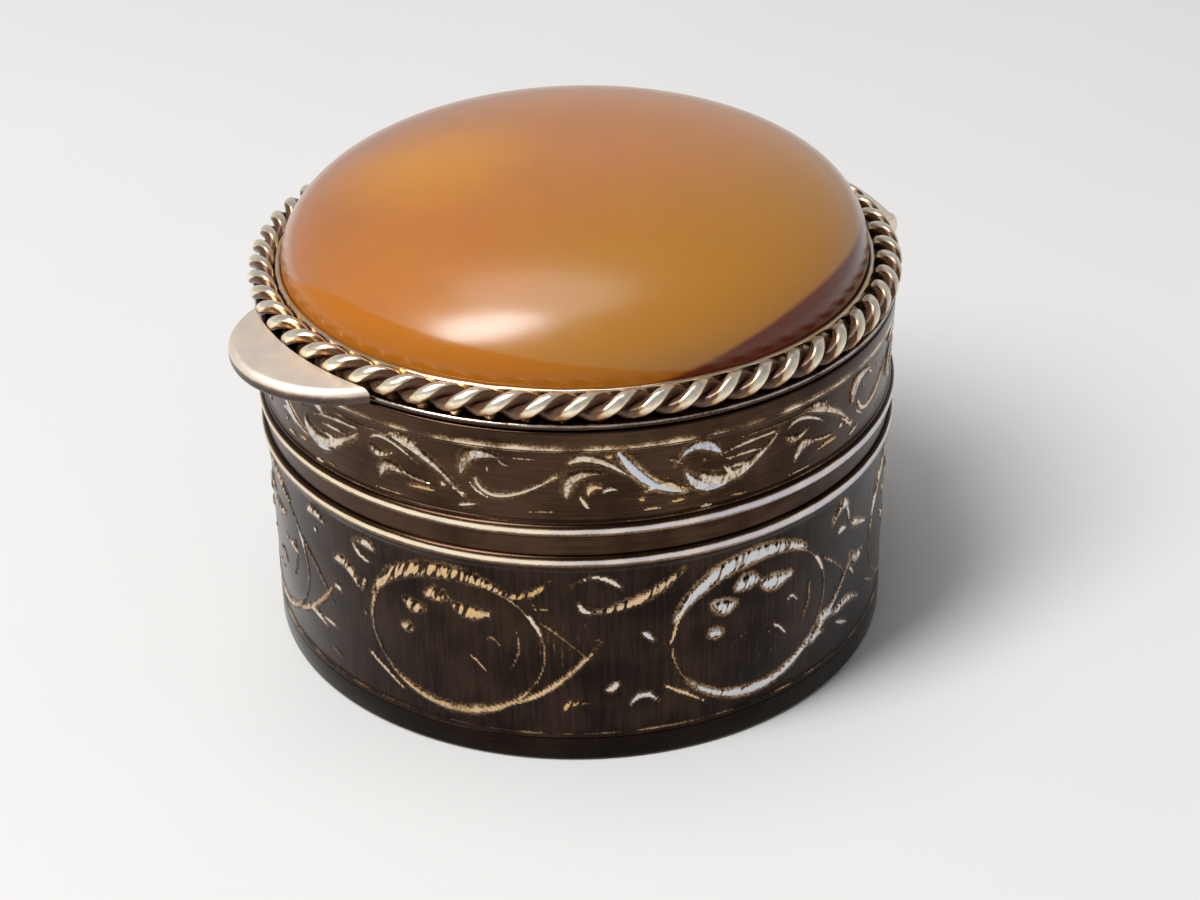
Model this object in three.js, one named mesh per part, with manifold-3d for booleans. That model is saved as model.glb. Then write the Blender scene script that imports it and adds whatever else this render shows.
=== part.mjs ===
// Round silver box with an agate cabochon in its lid, a twisted wire border, a thumbpiece and
// a five-knuckle hinge. Millimetres, +Z up, origin in the middle of the flat underside.
// The thumbpiece points to -Y and the hinge lies at +Y, with its axis along X.
import * as THREE from "three";
import { mergeVertices } from "three/addons/utils/BufferGeometryUtils.js";
import Module from "manifold-3d";

const wasm = await Module();
wasm.setup();

// Body: a straight tube with two half-round beads let into it, closed below by a turned base
const BODY_RADIUS = 20;
const BODY_HEIGHT = 22.9;
const WALL = 1.1;
const RIM_EDGE = 0.15;
const FOOT_HEIGHT = 1.7;
const FOOT_EDGE = 0.25;
const FLOOR = 0.9;
const SPIGOT_HEIGHT = 0.9;
const SPIGOT_WALL = 0.8;
const SPIGOT_PLAY = 0.3;
const BEAD_HEIGHT = 0.85;
const BEAD_PROUD = 0.25;
const BEAD_GROOVE_DEPTH = 0.55;
const BEAD_SEAT_PLAY = 0.3;
const BEAD_SIDE_PLAY = 0.08;
const LOWER_BEAD_HEIGHT = 14.35;
const BEAD_SPACING = 2.1;

// Lid: a thin round plate that lies over the wall, with a ring below it that enters the body
const LID_SEAM = 0.1;
const LID_PLATE = 0.4;
const LID_OVERHANG = 0.03;
const SNAP_RING_DEPTH = 1.4;
const SNAP_RING_WALL = 0.7;
const SNAP_RING_PLAY = 0.5;

// Stone: a cabochon with a fuller shoulder than an ellipse, bedded on cement inside a thin collar.
// It is cut to fill the collar, so its radius follows from the body, the border and the collar.
const STONE_DOME = 6.8;
const STONE_GIRDLE = 0.9;
const STONE_FULLNESS = 2.39;
const STONE_CHAMFER = 0.3;
const BEDDING = 0.3;
const COLLAR_PLAY = 0.2;
const COLLAR_WALL = 0.33;
const COLLAR_STANDS_OVER_GIRDLE = 0.2;
const COLLAR_LIP = 0.1;

// Border: two round wires twisted into a rope that lies on the plate outside the collar
const WIRE_RADIUS = 0.4;
const WIRE_PAIR_GAP = 0.12;
const ROPE_TURNS = 29;
const ROPE_PLAY = 0.03;
const ROPE_OVERHANG = 0.3;

// Thumbpiece: a half-moon cut from a round-edged disc
const THUMB_RADIUS = 7.1;
const THUMB_REACH = 3.57;
const THUMB_THICKNESS = 1.05;
const THUMB_EDGE = 0.45;
const THUMB_LIFT = 0.05;
const RIM_PIECE_PLAY = 0.02;

// Hinge: knuckles of drawn tube on one pin, under a curved flange on the lid
const KNUCKLE_RADIUS = 1.1;
const KNUCKLE_COUNT = 5;
const KNUCKLE_LENGTH = 2.15;
const KNUCKLE_GAP = 0.15;
const PIN_RADIUS = 0.45;
const PIN_PLAY = 0.08;
const PIN_HEAD = 0.35;
const HINGE_WALL_PLAY = 0.15;
const FLANGE_WIDTH = 1;
const FLANGE_THICKNESS = 0.9;
const FLANGE_HALF_ANGLE = 22;
const FLANGE_OVER_KNUCKLE = 0.15;
const BEARER_UNDER_KNUCKLE = 0.15;
const BEARER_THICKNESS = 1.3;
const BEARER_TAPER = 0.7;
const BEARER_WALL_PLAY = 0.3;

// Facets
const TURNED_STEPS = 64;
const SMALL_TURNED_STEPS = 24;
const EDGE_STEPS = 3;
const BEAD_STEPS = 6;
const DOME_STEPS = 12;
const WIRE_SIDES = 6;
const WIRE_STEPS_PER_TURN = 8;
const WIRE_GAP_STEPS_PER_TURN = 24;
const ARC_STEPS = 12;
const BEARER_CURVE_STEPS = 6;
const WELD_DISTANCE = 1e-5;

// Places that follow from the sizes above
const bodyInner = BODY_RADIUS - WALL;
const upperBeadHeight = LOWER_BEAD_HEIGHT + BEAD_SPACING;
const plateBottom = BODY_HEIGHT + LID_SEAM;
const plateTop = plateBottom + LID_PLATE;
const lidRadius = BODY_RADIUS + LID_OVERHANG;
const beddingTop = plateTop + BEDDING;
const girdleTop = beddingTop + STONE_GIRDLE;
const wireOffset = WIRE_RADIUS + WIRE_PAIR_GAP / 2;
const ropeRadius = wireOffset + WIRE_RADIUS;
const ropeRing = lidRadius + ROPE_OVERHANG - ropeRadius;
const ropeHeight = plateTop + ROPE_PLAY + ropeRadius;
const collarOuter = ropeRing - ropeRadius - ROPE_PLAY;
const collarInner = collarOuter - COLLAR_WALL;
const stoneRadius = collarInner - COLLAR_PLAY;
const rimPieceInner = lidRadius + ROPE_OVERHANG + RIM_PIECE_PLAY;
const hingeY = BODY_RADIUS + HINGE_WALL_PLAY + KNUCKLE_RADIUS;
const hingeZ = plateBottom - FLANGE_OVER_KNUCKLE - KNUCKLE_RADIUS;
const hingeLength = KNUCKLE_COUNT * KNUCKLE_LENGTH + (KNUCKLE_COUNT - 1) * KNUCKLE_GAP;

const finishes = {
  engravedSilver: { color: 0x5a4b40, roughness: 0.42, metalness: 1 },
  brightSilver: { color: 0xd8cfc2, roughness: 0.25, metalness: 1 },
  satinSilver: { color: 0xcbbdb2, roughness: 0.4, metalness: 1 },
  agate: { color: 0xb4732c, roughness: 0.12, metalness: 0 },
  cement: { color: 0x6f4a30, roughness: 0.9, metalness: 0 },
  steel: { color: 0x8d8f92, roughness: 0.35, metalness: 1 },
};

function piece(name, geometry, finish) {
  const mesh = new THREE.Mesh(geometry, new THREE.MeshStandardMaterial(finishes[finish]));
  mesh.name = name;
  return mesh;
}

function weld(geometry) {
  geometry.deleteAttribute("normal");
  geometry.deleteAttribute("uv");
  return mergeVertices(geometry, WELD_DISTANCE);
}

// A solid turned about the Z axis from [radius, height] pairs that run anticlockwise
function turned(profile, steps = TURNED_STEPS) {
  const points = profile.map(([radius, height]) => new THREE.Vector2(radius, height));
  return weld(new THREE.LatheGeometry(points, steps).rotateX(Math.PI / 2));
}

// The same about the hinge axis, from [radius, place along X] pairs
function turnedOnHinge(profile) {
  const points = profile.map(([radius, along]) => new THREE.Vector2(radius, along));
  const geometry = new THREE.LatheGeometry(points, SMALL_TURNED_STEPS).rotateZ(-Math.PI / 2);
  return weld(geometry.translate(0, hingeY, hingeZ));
}

// Points of a quarter or half circle in the [radius, height] plane
function arc(centreRadius, centreHeight, size, from, to, steps) {
  const points = [];
  for (let i = 0; i <= steps; i += 1) {
    const angle = THREE.MathUtils.degToRad(from + ((to - from) * i) / steps);
    points.push([centreRadius + size * Math.cos(angle), centreHeight + size * Math.sin(angle)]);
  }
  return points;
}

function toSolid(geometry) {
  const triVerts = new Uint32Array(geometry.index.array);
  const vertProperties = new Float32Array(geometry.attributes.position.array);
  return new wasm.Manifold(new wasm.Mesh({ numProp: 3, vertProperties, triVerts }));
}

function toGeometry(solid) {
  const { vertProperties, triVerts } = solid.getMesh();
  const geometry = new THREE.BufferGeometry();
  geometry.setAttribute("position", new THREE.BufferAttribute(vertProperties, 3));
  geometry.setIndex(new THREE.BufferAttribute(triVerts, 1));
  return geometry;
}

// Base: the plain foot band and the floor in one turning, with a spigot that centres the wall
function basePlate() {
  const spigotOuter = bodyInner - SPIGOT_PLAY;
  const spigotInner = spigotOuter - SPIGOT_WALL;
  return turned([
    [0, 0],
    ...arc(BODY_RADIUS - FOOT_EDGE, FOOT_EDGE, FOOT_EDGE, -90, 0, EDGE_STEPS),
    [BODY_RADIUS, FOOT_HEIGHT],
    [spigotOuter, FOOT_HEIGHT],
    [spigotOuter, FOOT_HEIGHT + SPIGOT_HEIGHT],
    [spigotInner, FOOT_HEIGHT + SPIGOT_HEIGHT],
    [spigotInner, FLOOR],
    [0, FLOOR],
  ]);
}

// Groove in the outside of the wall that holds one bead, from its lower side up
function beadGroove(centre) {
  const bottom = BODY_RADIUS - BEAD_GROOVE_DEPTH;
  const low = centre - BEAD_HEIGHT / 2;
  const high = centre + BEAD_HEIGHT / 2 + BEAD_SIDE_PLAY;
  return [[BODY_RADIUS, low], [bottom, low], [bottom, high], [BODY_RADIUS, high]];
}

// Wall: a tube on the base, with its upper edges rounded and the grooves for both beads
function bodyWall() {
  return turned([
    [bodyInner, FOOT_HEIGHT],
    [BODY_RADIUS, FOOT_HEIGHT],
    ...beadGroove(LOWER_BEAD_HEIGHT),
    ...beadGroove(upperBeadHeight),
    ...arc(BODY_RADIUS - RIM_EDGE, BODY_HEIGHT - RIM_EDGE, RIM_EDGE, 0, 90, EDGE_STEPS),
    ...arc(bodyInner + RIM_EDGE, BODY_HEIGHT - RIM_EDGE, RIM_EDGE, 90, 180, EDGE_STEPS),
    [bodyInner, FOOT_HEIGHT],
  ]);
}

// Bead: half-round wire with a flat tail that sits in the wall's groove
function bead(centre) {
  const tail = BODY_RADIUS - BEAD_GROOVE_DEPTH + BEAD_SEAT_PLAY;
  const half = BEAD_HEIGHT / 2;
  const nose = [];
  for (let i = 0; i <= BEAD_STEPS; i += 1) {
    const angle = Math.PI * (i / BEAD_STEPS - 0.5);
    nose.push([BODY_RADIUS + BEAD_PROUD * Math.cos(angle), centre + half * Math.sin(angle)]);
  }
  return turned([[tail, centre - half], ...nose, [tail, centre + half], [tail, centre - half]]);
}

// Plate of the lid, with its edge rounded over
function lidPlate() {
  const half = LID_PLATE / 2;
  return turned([
    [0, plateBottom],
    ...arc(lidRadius - half, plateBottom + half, half, -90, 90, 2 * EDGE_STEPS),
    [0, plateTop],
  ]);
}

// Ring under the plate that enters the body and keeps the closed lid from shifting
function snapRing() {
  const outer = bodyInner - SNAP_RING_PLAY;
  const inner = outer - SNAP_RING_WALL;
  const bottom = plateBottom - SNAP_RING_DEPTH;
  const middle = (inner + outer) / 2;
  return turned([
    [inner, plateBottom],
    [inner, bottom + SNAP_RING_WALL / 2],
    [middle, bottom],
    [outer, bottom + SNAP_RING_WALL / 2],
    [outer, plateBottom],
    [inner, plateBottom],
  ]);
}

// Collar: thin upright band soldered to the plate, its lip closed in towards the stone
function stoneCollar() {
  const top = girdleTop + COLLAR_STANDS_OVER_GIRDLE;
  const lipHeight = 2 * COLLAR_LIP;
  return turned([
    [collarInner, plateTop],
    [collarOuter, plateTop],
    [collarOuter, top - lipHeight],
    [collarOuter - COLLAR_LIP, top],
    [collarInner, top],
    [collarInner, plateTop],
  ]);
}

function stoneBedding() {
  return turned([[0, plateTop], [stoneRadius, plateTop], [stoneRadius, beddingTop], [0, beddingTop]]);
}

// Cabochon: flat under the girdle, then a dome of x^n + y^n = 1 turned about its height
function agateCabochon() {
  const dome = [];
  for (let i = 0; i <= DOME_STEPS; i += 1) {
    const angle = (Math.PI / 2) * (i / DOME_STEPS);
    const out = Math.max(0, Math.cos(angle)) ** (2 / STONE_FULLNESS);
    const up = Math.sin(angle) ** (2 / STONE_FULLNESS);
    dome.push([i === DOME_STEPS ? 0 : stoneRadius * out, girdleTop + STONE_DOME * up]);
  }
  const base = [[0, beddingTop], [stoneRadius - STONE_CHAMFER, beddingTop]];
  return turned([...base, [stoneRadius, beddingTop + STONE_CHAMFER], ...dome]);
}

// Middle of one wire of the rope at a share of the way round; both wires wind the same way
function wireCentre(share, phase) {
  const round = 2 * Math.PI * share;
  const twist = phase + ROPE_TURNS * round;
  const radius = ropeRing + wireOffset * Math.cos(twist);
  const height = ropeHeight + wireOffset * Math.sin(twist);
  return new THREE.Vector3(radius * Math.cos(round), radius * Math.sin(round), height);
}

// One wire of the rope as a closed tube, with its rings square to its own run
function ropeWire(phase) {
  const rings = ROPE_TURNS * WIRE_STEPS_PER_TURN;
  const position = [];
  const index = [];
  for (let ring = 0; ring < rings; ring += 1) {
    const centre = wireCentre(ring / rings, phase);
    const run = wireCentre((ring + 0.5) / rings, phase).sub(wireCentre((ring - 0.5) / rings, phase));
    const round = (2 * Math.PI * ring) / rings;
    const across = new THREE.Vector3(Math.cos(round), Math.sin(round), 0);
    const up = new THREE.Vector3().crossVectors(across, run).normalize();
    const side = new THREE.Vector3().crossVectors(run, up).normalize();
    for (let corner = 0; corner < WIRE_SIDES; corner += 1) {
      const angle = (2 * Math.PI * corner) / WIRE_SIDES;
      const point = centre.clone().addScaledVector(side, WIRE_RADIUS * Math.cos(angle));
      position.push(...point.addScaledVector(up, WIRE_RADIUS * Math.sin(angle)).toArray());
      const next = (corner + 1) % WIRE_SIDES;
      const a = ring * WIRE_SIDES + corner;
      const b = ring * WIRE_SIDES + next;
      const c = ((ring + 1) % rings) * WIRE_SIDES + corner;
      const d = ((ring + 1) % rings) * WIRE_SIDES + next;
      index.push(a, c, b, b, c, d);
    }
  }
  const geometry = new THREE.BufferGeometry();
  geometry.setAttribute("position", new THREE.Float32BufferAttribute(position, 3));
  return geometry.setIndex(index);
}

// Least space between turns of one wire, measured between points half a turn or more apart
function leastWireGap() {
  const perTurn = WIRE_GAP_STEPS_PER_TURN;
  const points = [];
  for (let i = 0; i < ROPE_TURNS * perTurn; i += 1) {
    points.push(wireCentre(i / (ROPE_TURNS * perTurn), 0));
  }
  let least = Infinity;
  for (let i = 0; i < points.length; i += 1) {
    for (let step = perTurn / 2; step <= points.length / 2; step += 1) {
      const other = points[(i + step) % points.length];
      least = Math.min(least, points[i].distanceTo(other) - 2 * WIRE_RADIUS);
    }
  }
  return least;
}

// Thumbpiece: a disc with a rounded edge, cut back to clear the rim and the rope
function thumbpiece() {
  const bottom = BODY_HEIGHT + THUMB_LIFT;
  const top = bottom + THUMB_THICKNESS;
  const centreY = -(lidRadius + THUMB_REACH - THUMB_RADIUS);
  const disc = turned([
    [0, bottom],
    ...arc(THUMB_RADIUS - THUMB_EDGE, bottom + THUMB_EDGE, THUMB_EDGE, -90, 0, EDGE_STEPS),
    ...arc(THUMB_RADIUS - THUMB_EDGE, top - THUMB_EDGE, THUMB_EDGE, 0, 90, EDGE_STEPS),
    [0, top],
  ], 2 * SMALL_TURNED_STEPS).translate(0, centreY, 0);
  const low = bottom - THUMB_THICKNESS;
  const high = top + THUMB_THICKNESS;
  const clear = turned([[0, low], [rimPieceInner, low], [rimPieceInner, high], [0, high]], 2 * TURNED_STEPS);
  return toGeometry(toSolid(disc).subtract(toSolid(clear)));
}

// Flange of the lid above the knuckles, bent round the rim, with round ends
function hingeFlange() {
  const middle = rimPieceInner + FLANGE_WIDTH / 2;
  const half = THREE.MathUtils.degToRad(FLANGE_HALF_ANGLE);
  const from = Math.PI / 2 - half;
  const to = Math.PI / 2 + half;
  const outline = new THREE.Shape();
  outline.absarc(0, 0, rimPieceInner + FLANGE_WIDTH, from, to, false);
  outline.absarc(middle * Math.cos(to), middle * Math.sin(to), FLANGE_WIDTH / 2, to, to + Math.PI, false);
  outline.absarc(0, 0, rimPieceInner, to, from, true);
  outline.absarc(middle * Math.cos(from), middle * Math.sin(from), FLANGE_WIDTH / 2,
    from - Math.PI, from, false);
  const settings = { depth: FLANGE_THICKNESS, bevelEnabled: false, curveSegments: ARC_STEPS };
  return weld(new THREE.ExtrudeGeometry(outline, settings)).translate(0, 0, plateBottom);
}

// Bearer: a shelf on the outside of the wall, shaped to it, that carries the body's knuckles
function hingeBearer() {
  const top = hingeZ - KNUCKLE_RADIUS - BEARER_UNDER_KNUCKLE;
  const bottom = top - BEARER_THICKNESS;
  const outer = hingeY + KNUCKLE_RADIUS * BEARER_TAPER;
  const section = new THREE.Shape();
  section.moveTo(bodyInner, bottom);
  section.lineTo(hingeY - KNUCKLE_RADIUS * BEARER_TAPER, bottom);
  section.quadraticCurveTo(outer, bottom, outer, top);
  section.lineTo(bodyInner, top);
  section.closePath();
  const settings = { depth: hingeLength, bevelEnabled: false, curveSegments: BEARER_CURVE_STEPS };
  const bar = new THREE.ExtrudeGeometry(section, settings);
  bar.translate(0, 0, -hingeLength / 2);
  bar.rotateX(Math.PI / 2).rotateZ(Math.PI / 2);
  const seat = BODY_RADIUS + BEARER_WALL_PLAY;
  const low = bottom - BEARER_THICKNESS;
  const high = top + BEARER_THICKNESS;
  const wall = turned([[0, low], [seat, low], [seat, high], [0, high]], 2 * TURNED_STEPS);
  return toGeometry(toSolid(weld(bar)).subtract(toSolid(wall)));
}

// One knuckle: a short tube on the hinge axis, counted from the -X end
function knuckle(place) {
  const from = place * (KNUCKLE_LENGTH + KNUCKLE_GAP) - hingeLength / 2;
  const to = from + KNUCKLE_LENGTH;
  const bore = PIN_RADIUS + PIN_PLAY;
  return turnedOnHinge([
    [bore, from], [KNUCKLE_RADIUS, from], [KNUCKLE_RADIUS, to], [bore, to], [bore, from],
  ]);
}

// Pin through all knuckles, its ends rounded over
function hingePin() {
  const end = hingeLength / 2;
  return turnedOnHinge([
    [0, -end - PIN_HEAD],
    [PIN_RADIUS * Math.SQRT1_2, -end - PIN_HEAD * Math.SQRT1_2],
    [PIN_RADIUS, -end],
    [PIN_RADIUS, end],
    [PIN_RADIUS * Math.SQRT1_2, end + PIN_HEAD * Math.SQRT1_2],
    [0, end + PIN_HEAD],
  ]);
}

function bodyGroup() {
  const group = new THREE.Group();
  group.add(
    piece("base_plate", basePlate(), "engravedSilver"),
    piece("body_wall", bodyWall(), "engravedSilver"),
    piece("lower_bead", bead(LOWER_BEAD_HEIGHT), "brightSilver"),
    piece("upper_bead", bead(upperBeadHeight), "brightSilver"),
    piece("body_hinge_bearer", hingeBearer(), "satinSilver"),
    piece("hinge_pin", hingePin(), "steel"),
  );
  for (let place = 0; place < KNUCKLE_COUNT; place += 2) {
    group.add(piece(`body_knuckle_${place / 2 + 1}`, knuckle(place), "satinSilver"));
  }
  return group;
}

function lidGroup() {
  const group = new THREE.Group();
  group.add(
    piece("lid_plate", lidPlate(), "engravedSilver"),
    piece("lid_snap_ring", snapRing(), "satinSilver"),
    piece("lid_hinge_flange", hingeFlange(), "satinSilver"),
    piece("thumbpiece", thumbpiece(), "satinSilver"),
    piece("stone_bedding", stoneBedding(), "cement"),
    piece("agate_cabochon", agateCabochon(), "agate"),
    piece("stone_collar", stoneCollar(), "brightSilver"),
    piece("rope_wire_1", ropeWire(0), "brightSilver"),
    piece("rope_wire_2", ropeWire(Math.PI), "brightSilver"),
  );
  for (let place = 1; place < KNUCKLE_COUNT; place += 2) {
    group.add(piece(`lid_knuckle_${(place + 1) / 2}`, knuckle(place), "satinSilver"));
  }
  return group;
}

console.log(`least gap between turns of one rope wire: ${leastWireGap().toFixed(2)} mm`);
console.log(`space between the two rope wires: ${WIRE_PAIR_GAP.toFixed(2)} mm`);

const box = new THREE.Group();
box.add(bodyGroup(), lidGroup());

export default box;
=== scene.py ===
"""Round engraved silver box with an agate cabochon in its lid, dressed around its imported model.

Sizes are in metres unless a name ends in _mm. Azimuth 0 is the thumbpiece's side (-Y) and grows
towards +X, so azimuth 180 is the hinge's side.
"""

import logging
import math
from dataclasses import dataclass, replace
from enum import Enum
from typing import Callable, Optional, Sequence, Union

import bpy
import numpy as np
from mathutils import Matrix, Vector


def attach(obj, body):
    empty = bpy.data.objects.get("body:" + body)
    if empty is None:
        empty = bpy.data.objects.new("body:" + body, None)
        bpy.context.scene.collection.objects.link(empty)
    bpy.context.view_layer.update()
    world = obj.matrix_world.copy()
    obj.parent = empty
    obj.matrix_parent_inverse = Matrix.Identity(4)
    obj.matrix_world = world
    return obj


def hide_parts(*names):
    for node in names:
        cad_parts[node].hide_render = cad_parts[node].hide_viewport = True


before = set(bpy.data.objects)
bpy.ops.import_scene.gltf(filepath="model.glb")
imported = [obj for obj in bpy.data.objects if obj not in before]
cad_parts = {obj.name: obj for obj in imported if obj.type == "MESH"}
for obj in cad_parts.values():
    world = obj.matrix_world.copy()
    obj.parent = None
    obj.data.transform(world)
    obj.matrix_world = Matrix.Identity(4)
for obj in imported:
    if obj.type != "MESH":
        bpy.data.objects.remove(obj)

log = logging.getLogger("box")

Colour = tuple[float, float, float]
Point = tuple[float, float]
Waves = Sequence[tuple[float, float, float]]
Values = Union[np.ndarray, float]

MM = 0.001
WELD = 1e-7
FULL_TURN = 2 * math.pi
BODY = "box_body"
LID = "lid"
POLISH = "polish"
GOLD = "gold"
HATCH = "hatch"
SMOOTH_ANGLE = math.radians(38)
SKIN_SMOOTH_ANGLE = math.radians(70)
TURNED_STEPS = 360
LIE_ALONG_X = (0.0, math.pi / 2, 0.0)
MM_PER_DEGREE = 20.0 * math.pi / 180
WALL_ROUND_MM = 360.0 * MM_PER_DEGREE
RUN_SAMPLE_MM = 0.07

# Each wave: how often it comes in a turn, how often in a millimetre of height, and its phase
HAND_WAVES = ((3, 0.05, 0.4), (7, 0.13, 2.1), (17, 0.31, 4.0), (29, -0.22, 1.3))
WEAR_WAVES = ((5, 0.11, 1.1), (13, -0.4, 3.3), (31, 0.7, 0.2), (53, -0.9, 2.6))
DENT_WAVES = ((97, 0.9, 0.3), (151, -1.3, 1.9), (211, 0.5, 4.4))


class Slot(Enum):
    """Names of the material slots."""

    DARK = "dark_silver"
    BRIGHT = "bright_silver"
    SATIN = "satin_silver"
    PIN = "pin_metal"
    CEMENT = "setting_cement"
    AGATE = "agate"


class BoxSizes:
    """Heights and radii where pieces of the box meet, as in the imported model."""

    radius = 20.0 * MM
    wall_top = 22.9 * MM
    wall_inner = 18.9 * MM
    plate_bottom = 23.0 * MM
    plate_top = 23.4 * MM
    foot_top = 1.7 * MM
    low_bead = 14.35 * MM
    high_bead = 16.45 * MM
    bead_half = 0.425 * MM
    hinge_y = 21.25 * MM
    hinge_z = 21.75 * MM


# Numbers over arrays


def smoothstep(low: float, high: float, value: np.ndarray) -> np.ndarray:
    """0 at low, 1 at high, and a rise with no corner between them, for each value."""
    share = np.clip((value - low) / (high - low), 0.0, 1.0)
    return share * share * (3.0 - 2.0 * share)


def bell(value: np.ndarray, middle: float, reach: Values) -> np.ndarray:
    """1 at the middle, falling smoothly to almost 0 at two reaches from it, for each value."""
    return np.exp(-(((value - middle) / reach) ** 2))


def waviness(azimuth: np.ndarray, height_mm: np.ndarray, waves: Waves) -> np.ndarray:
    """Adds sine waves over a round wall, as hand work leaves them.

    Args:
        azimuth: azimuth in radians.
        height_mm: height in millimetres.
        waves: the waves.

    Returns:
        The mean of the waves, from -1 to 1.
    """
    total = np.zeros_like(azimuth)
    for per_turn, per_mm, phase in waves:
        total += np.sin(per_turn * azimuth + FULL_TURN * per_mm * height_mm + phase)
    return total / len(waves)


def arc(centre: Point, size: float, start: float, end: float, steps: int) -> list[Point]:
    """steps + 1 points round a (radius, height) centre, from one angle in degrees to another."""
    turn = [math.radians(start + (end - start) * i / steps) for i in range(steps + 1)]
    return [(centre[0] + size * math.cos(a), centre[1] + size * math.sin(a)) for a in turn]


# Modelling steps


def points_of(piece: bpy.types.Object) -> np.ndarray:
    """Reads the vertices of a piece.

    Args:
        piece: the mesh object.

    Returns:
        Rows of x, y and z.
    """
    points = np.zeros(len(piece.data.vertices) * 3)
    piece.data.vertices.foreach_get("co", points)
    return points.reshape(-1, 3)


def place_points(piece: bpy.types.Object, points: np.ndarray) -> None:
    """Moves the piece's vertices to the given rows of x, y and z."""
    piece.data.vertices.foreach_set("co", points.astype(np.float32).ravel())
    piece.data.update()


def polar(points: np.ndarray) -> tuple[np.ndarray, np.ndarray, np.ndarray]:
    """Azimuth in radians, distance from the Z axis, and height of each point."""
    return np.arctan2(points[:, 0], -points[:, 1]), np.hypot(points[:, 0], points[:, 1]), points[:, 2]


def from_polar(azimuth: np.ndarray, radius: np.ndarray, height: np.ndarray) -> np.ndarray:
    """Rows of x, y and z from azimuth in radians, radius and height."""
    return np.stack([radius * np.sin(azimuth), -radius * np.cos(azimuth), height], axis=-1)


def write_attribute(piece: bpy.types.Object, name: str, values: Values) -> None:
    """Keeps one number per vertex, for the finish to read.

    Args:
        piece: the mesh object.
        name: the attribute's name.
        values: one number per vertex, or one for all, from 0 to 1.
    """
    layer = piece.data.attributes.get(name) or piece.data.attributes.new(name, "FLOAT", "POINT")
    full = np.broadcast_to(values, len(piece.data.vertices))
    layer.data.foreach_set("value", np.clip(full, 0.0, 1.0).astype(np.float32))


def keep_wear_and_sheen(piece: bpy.types.Object, polish: Values, gold: Values) -> None:
    """Keeps the piece's polish, partly wear and partly painted highlight and shade, and how warm its bare
    silver is, partly a painted reflection tint.
    """
    write_attribute(piece, POLISH, polish)
    write_attribute(piece, GOLD, gold)


@dataclass
class Surface:
    """Where each vertex of a piece lies round the Z axis, and how unevenly it is rubbed there."""

    azimuth: np.ndarray
    distance: np.ndarray
    height: np.ndarray
    rub: np.ndarray

    @classmethod
    def of(cls, piece: bpy.types.Object) -> "Surface":
        """Reads a piece's surface."""
        azimuth, distance, height = polar(points_of(piece))
        return cls(azimuth, distance, height, waviness(azimuth, height / MM, WEAR_WAVES))


def deselect_all() -> None:
    """Deselects every object."""
    for shown in bpy.context.selected_objects:
        shown.select_set(False)


def activate(piece: bpy.types.Object) -> None:
    """Makes a piece the only selected object and the active one.

    Args:
        piece: the object.
    """
    deselect_all()
    piece.select_set(True)
    bpy.context.view_layer.objects.active = piece


def named(name: str) -> bpy.types.Object:
    """Names the object that was just added, and its mesh.

    Args:
        name: the new name.

    Returns:
        The object.
    """
    piece = bpy.context.active_object
    piece.name = piece.data.name = name
    return piece


def put(
    piece: bpy.types.Object, location: Sequence[float] = (0, 0, 0), turn: Sequence[float] = (0, 0, 0),
    scale: Sequence[float] = (1, 1, 1),
) -> None:
    """Scales, turns and moves a piece, and applies all of it to its mesh.

    Args:
        piece: the mesh object, at the origin.
        location: where its origin goes.
        turn: how far it turns about X, Y and Z, in radians.
        scale: how much larger it becomes along each axis.
    """
    activate(piece)
    piece.location, piece.rotation_euler, piece.scale = location, turn, scale
    bpy.ops.object.transform_apply(location=True, rotation=True, scale=True)


def edge_ends(piece: bpy.types.Object) -> np.ndarray:
    """Reads which vertices each edge joins.

    Args:
        piece: the mesh object.

    Returns:
        Rows of two vertex numbers.
    """
    ends = np.zeros(len(piece.data.edges) * 2, int)
    piece.data.edges.foreach_get("vertices", ends)
    return ends.reshape(-1, 2)


def select_edges(piece: bpy.types.Object, chosen: np.ndarray) -> None:
    """Selects only the chosen edges, in object mode.

    Args:
        piece: the mesh object.
        chosen: True for each edge to select.
    """
    for group in (piece.data.vertices, piece.data.polygons):
        group.foreach_set("select", np.zeros(len(group), bool))
    piece.data.edges.foreach_set("select", chosen)


def select_points(piece: bpy.types.Object, chosen: np.ndarray) -> None:
    """Selects only the chosen vertices and the edges between them, in object mode.

    Args:
        piece: the mesh object.
        chosen: True for each vertex to select.
    """
    ends = edge_ends(piece)
    select_edges(piece, chosen[ends[:, 0]] & chosen[ends[:, 1]])
    piece.data.vertices.foreach_set("select", chosen)


def in_edit_mode(piece: bpy.types.Object, mode: str, steps: Callable[[], object]) -> None:
    """Runs modelling steps on the selected parts of a piece.

    Args:
        piece: the mesh object, in object mode.
        mode: what is selected, VERT, EDGE or FACE.
        steps: the operators to run.
    """
    activate(piece)
    bpy.context.tool_settings.mesh_select_mode = (mode == "VERT", mode == "EDGE", mode == "FACE")
    bpy.ops.object.mode_set(mode="EDIT")
    steps()
    bpy.ops.object.mode_set(mode="OBJECT")


def divide_along(piece: bpy.types.Object, axis: int, least: float, cuts: int) -> None:
    """Divides the edges that run far along one axis.

    Args:
        piece: the mesh object.
        axis: 0, 1 or 2 for X, Y or Z.
        least: how far along it an edge runs at least.
        cuts: number of cuts in each.
    """
    ends, places = edge_ends(piece), points_of(piece)[:, axis]
    select_edges(piece, np.abs(places[ends[:, 0]] - places[ends[:, 1]]) > least)
    in_edit_mode(piece, "EDGE", lambda: bpy.ops.mesh.subdivide(number_cuts=cuts))


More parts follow.
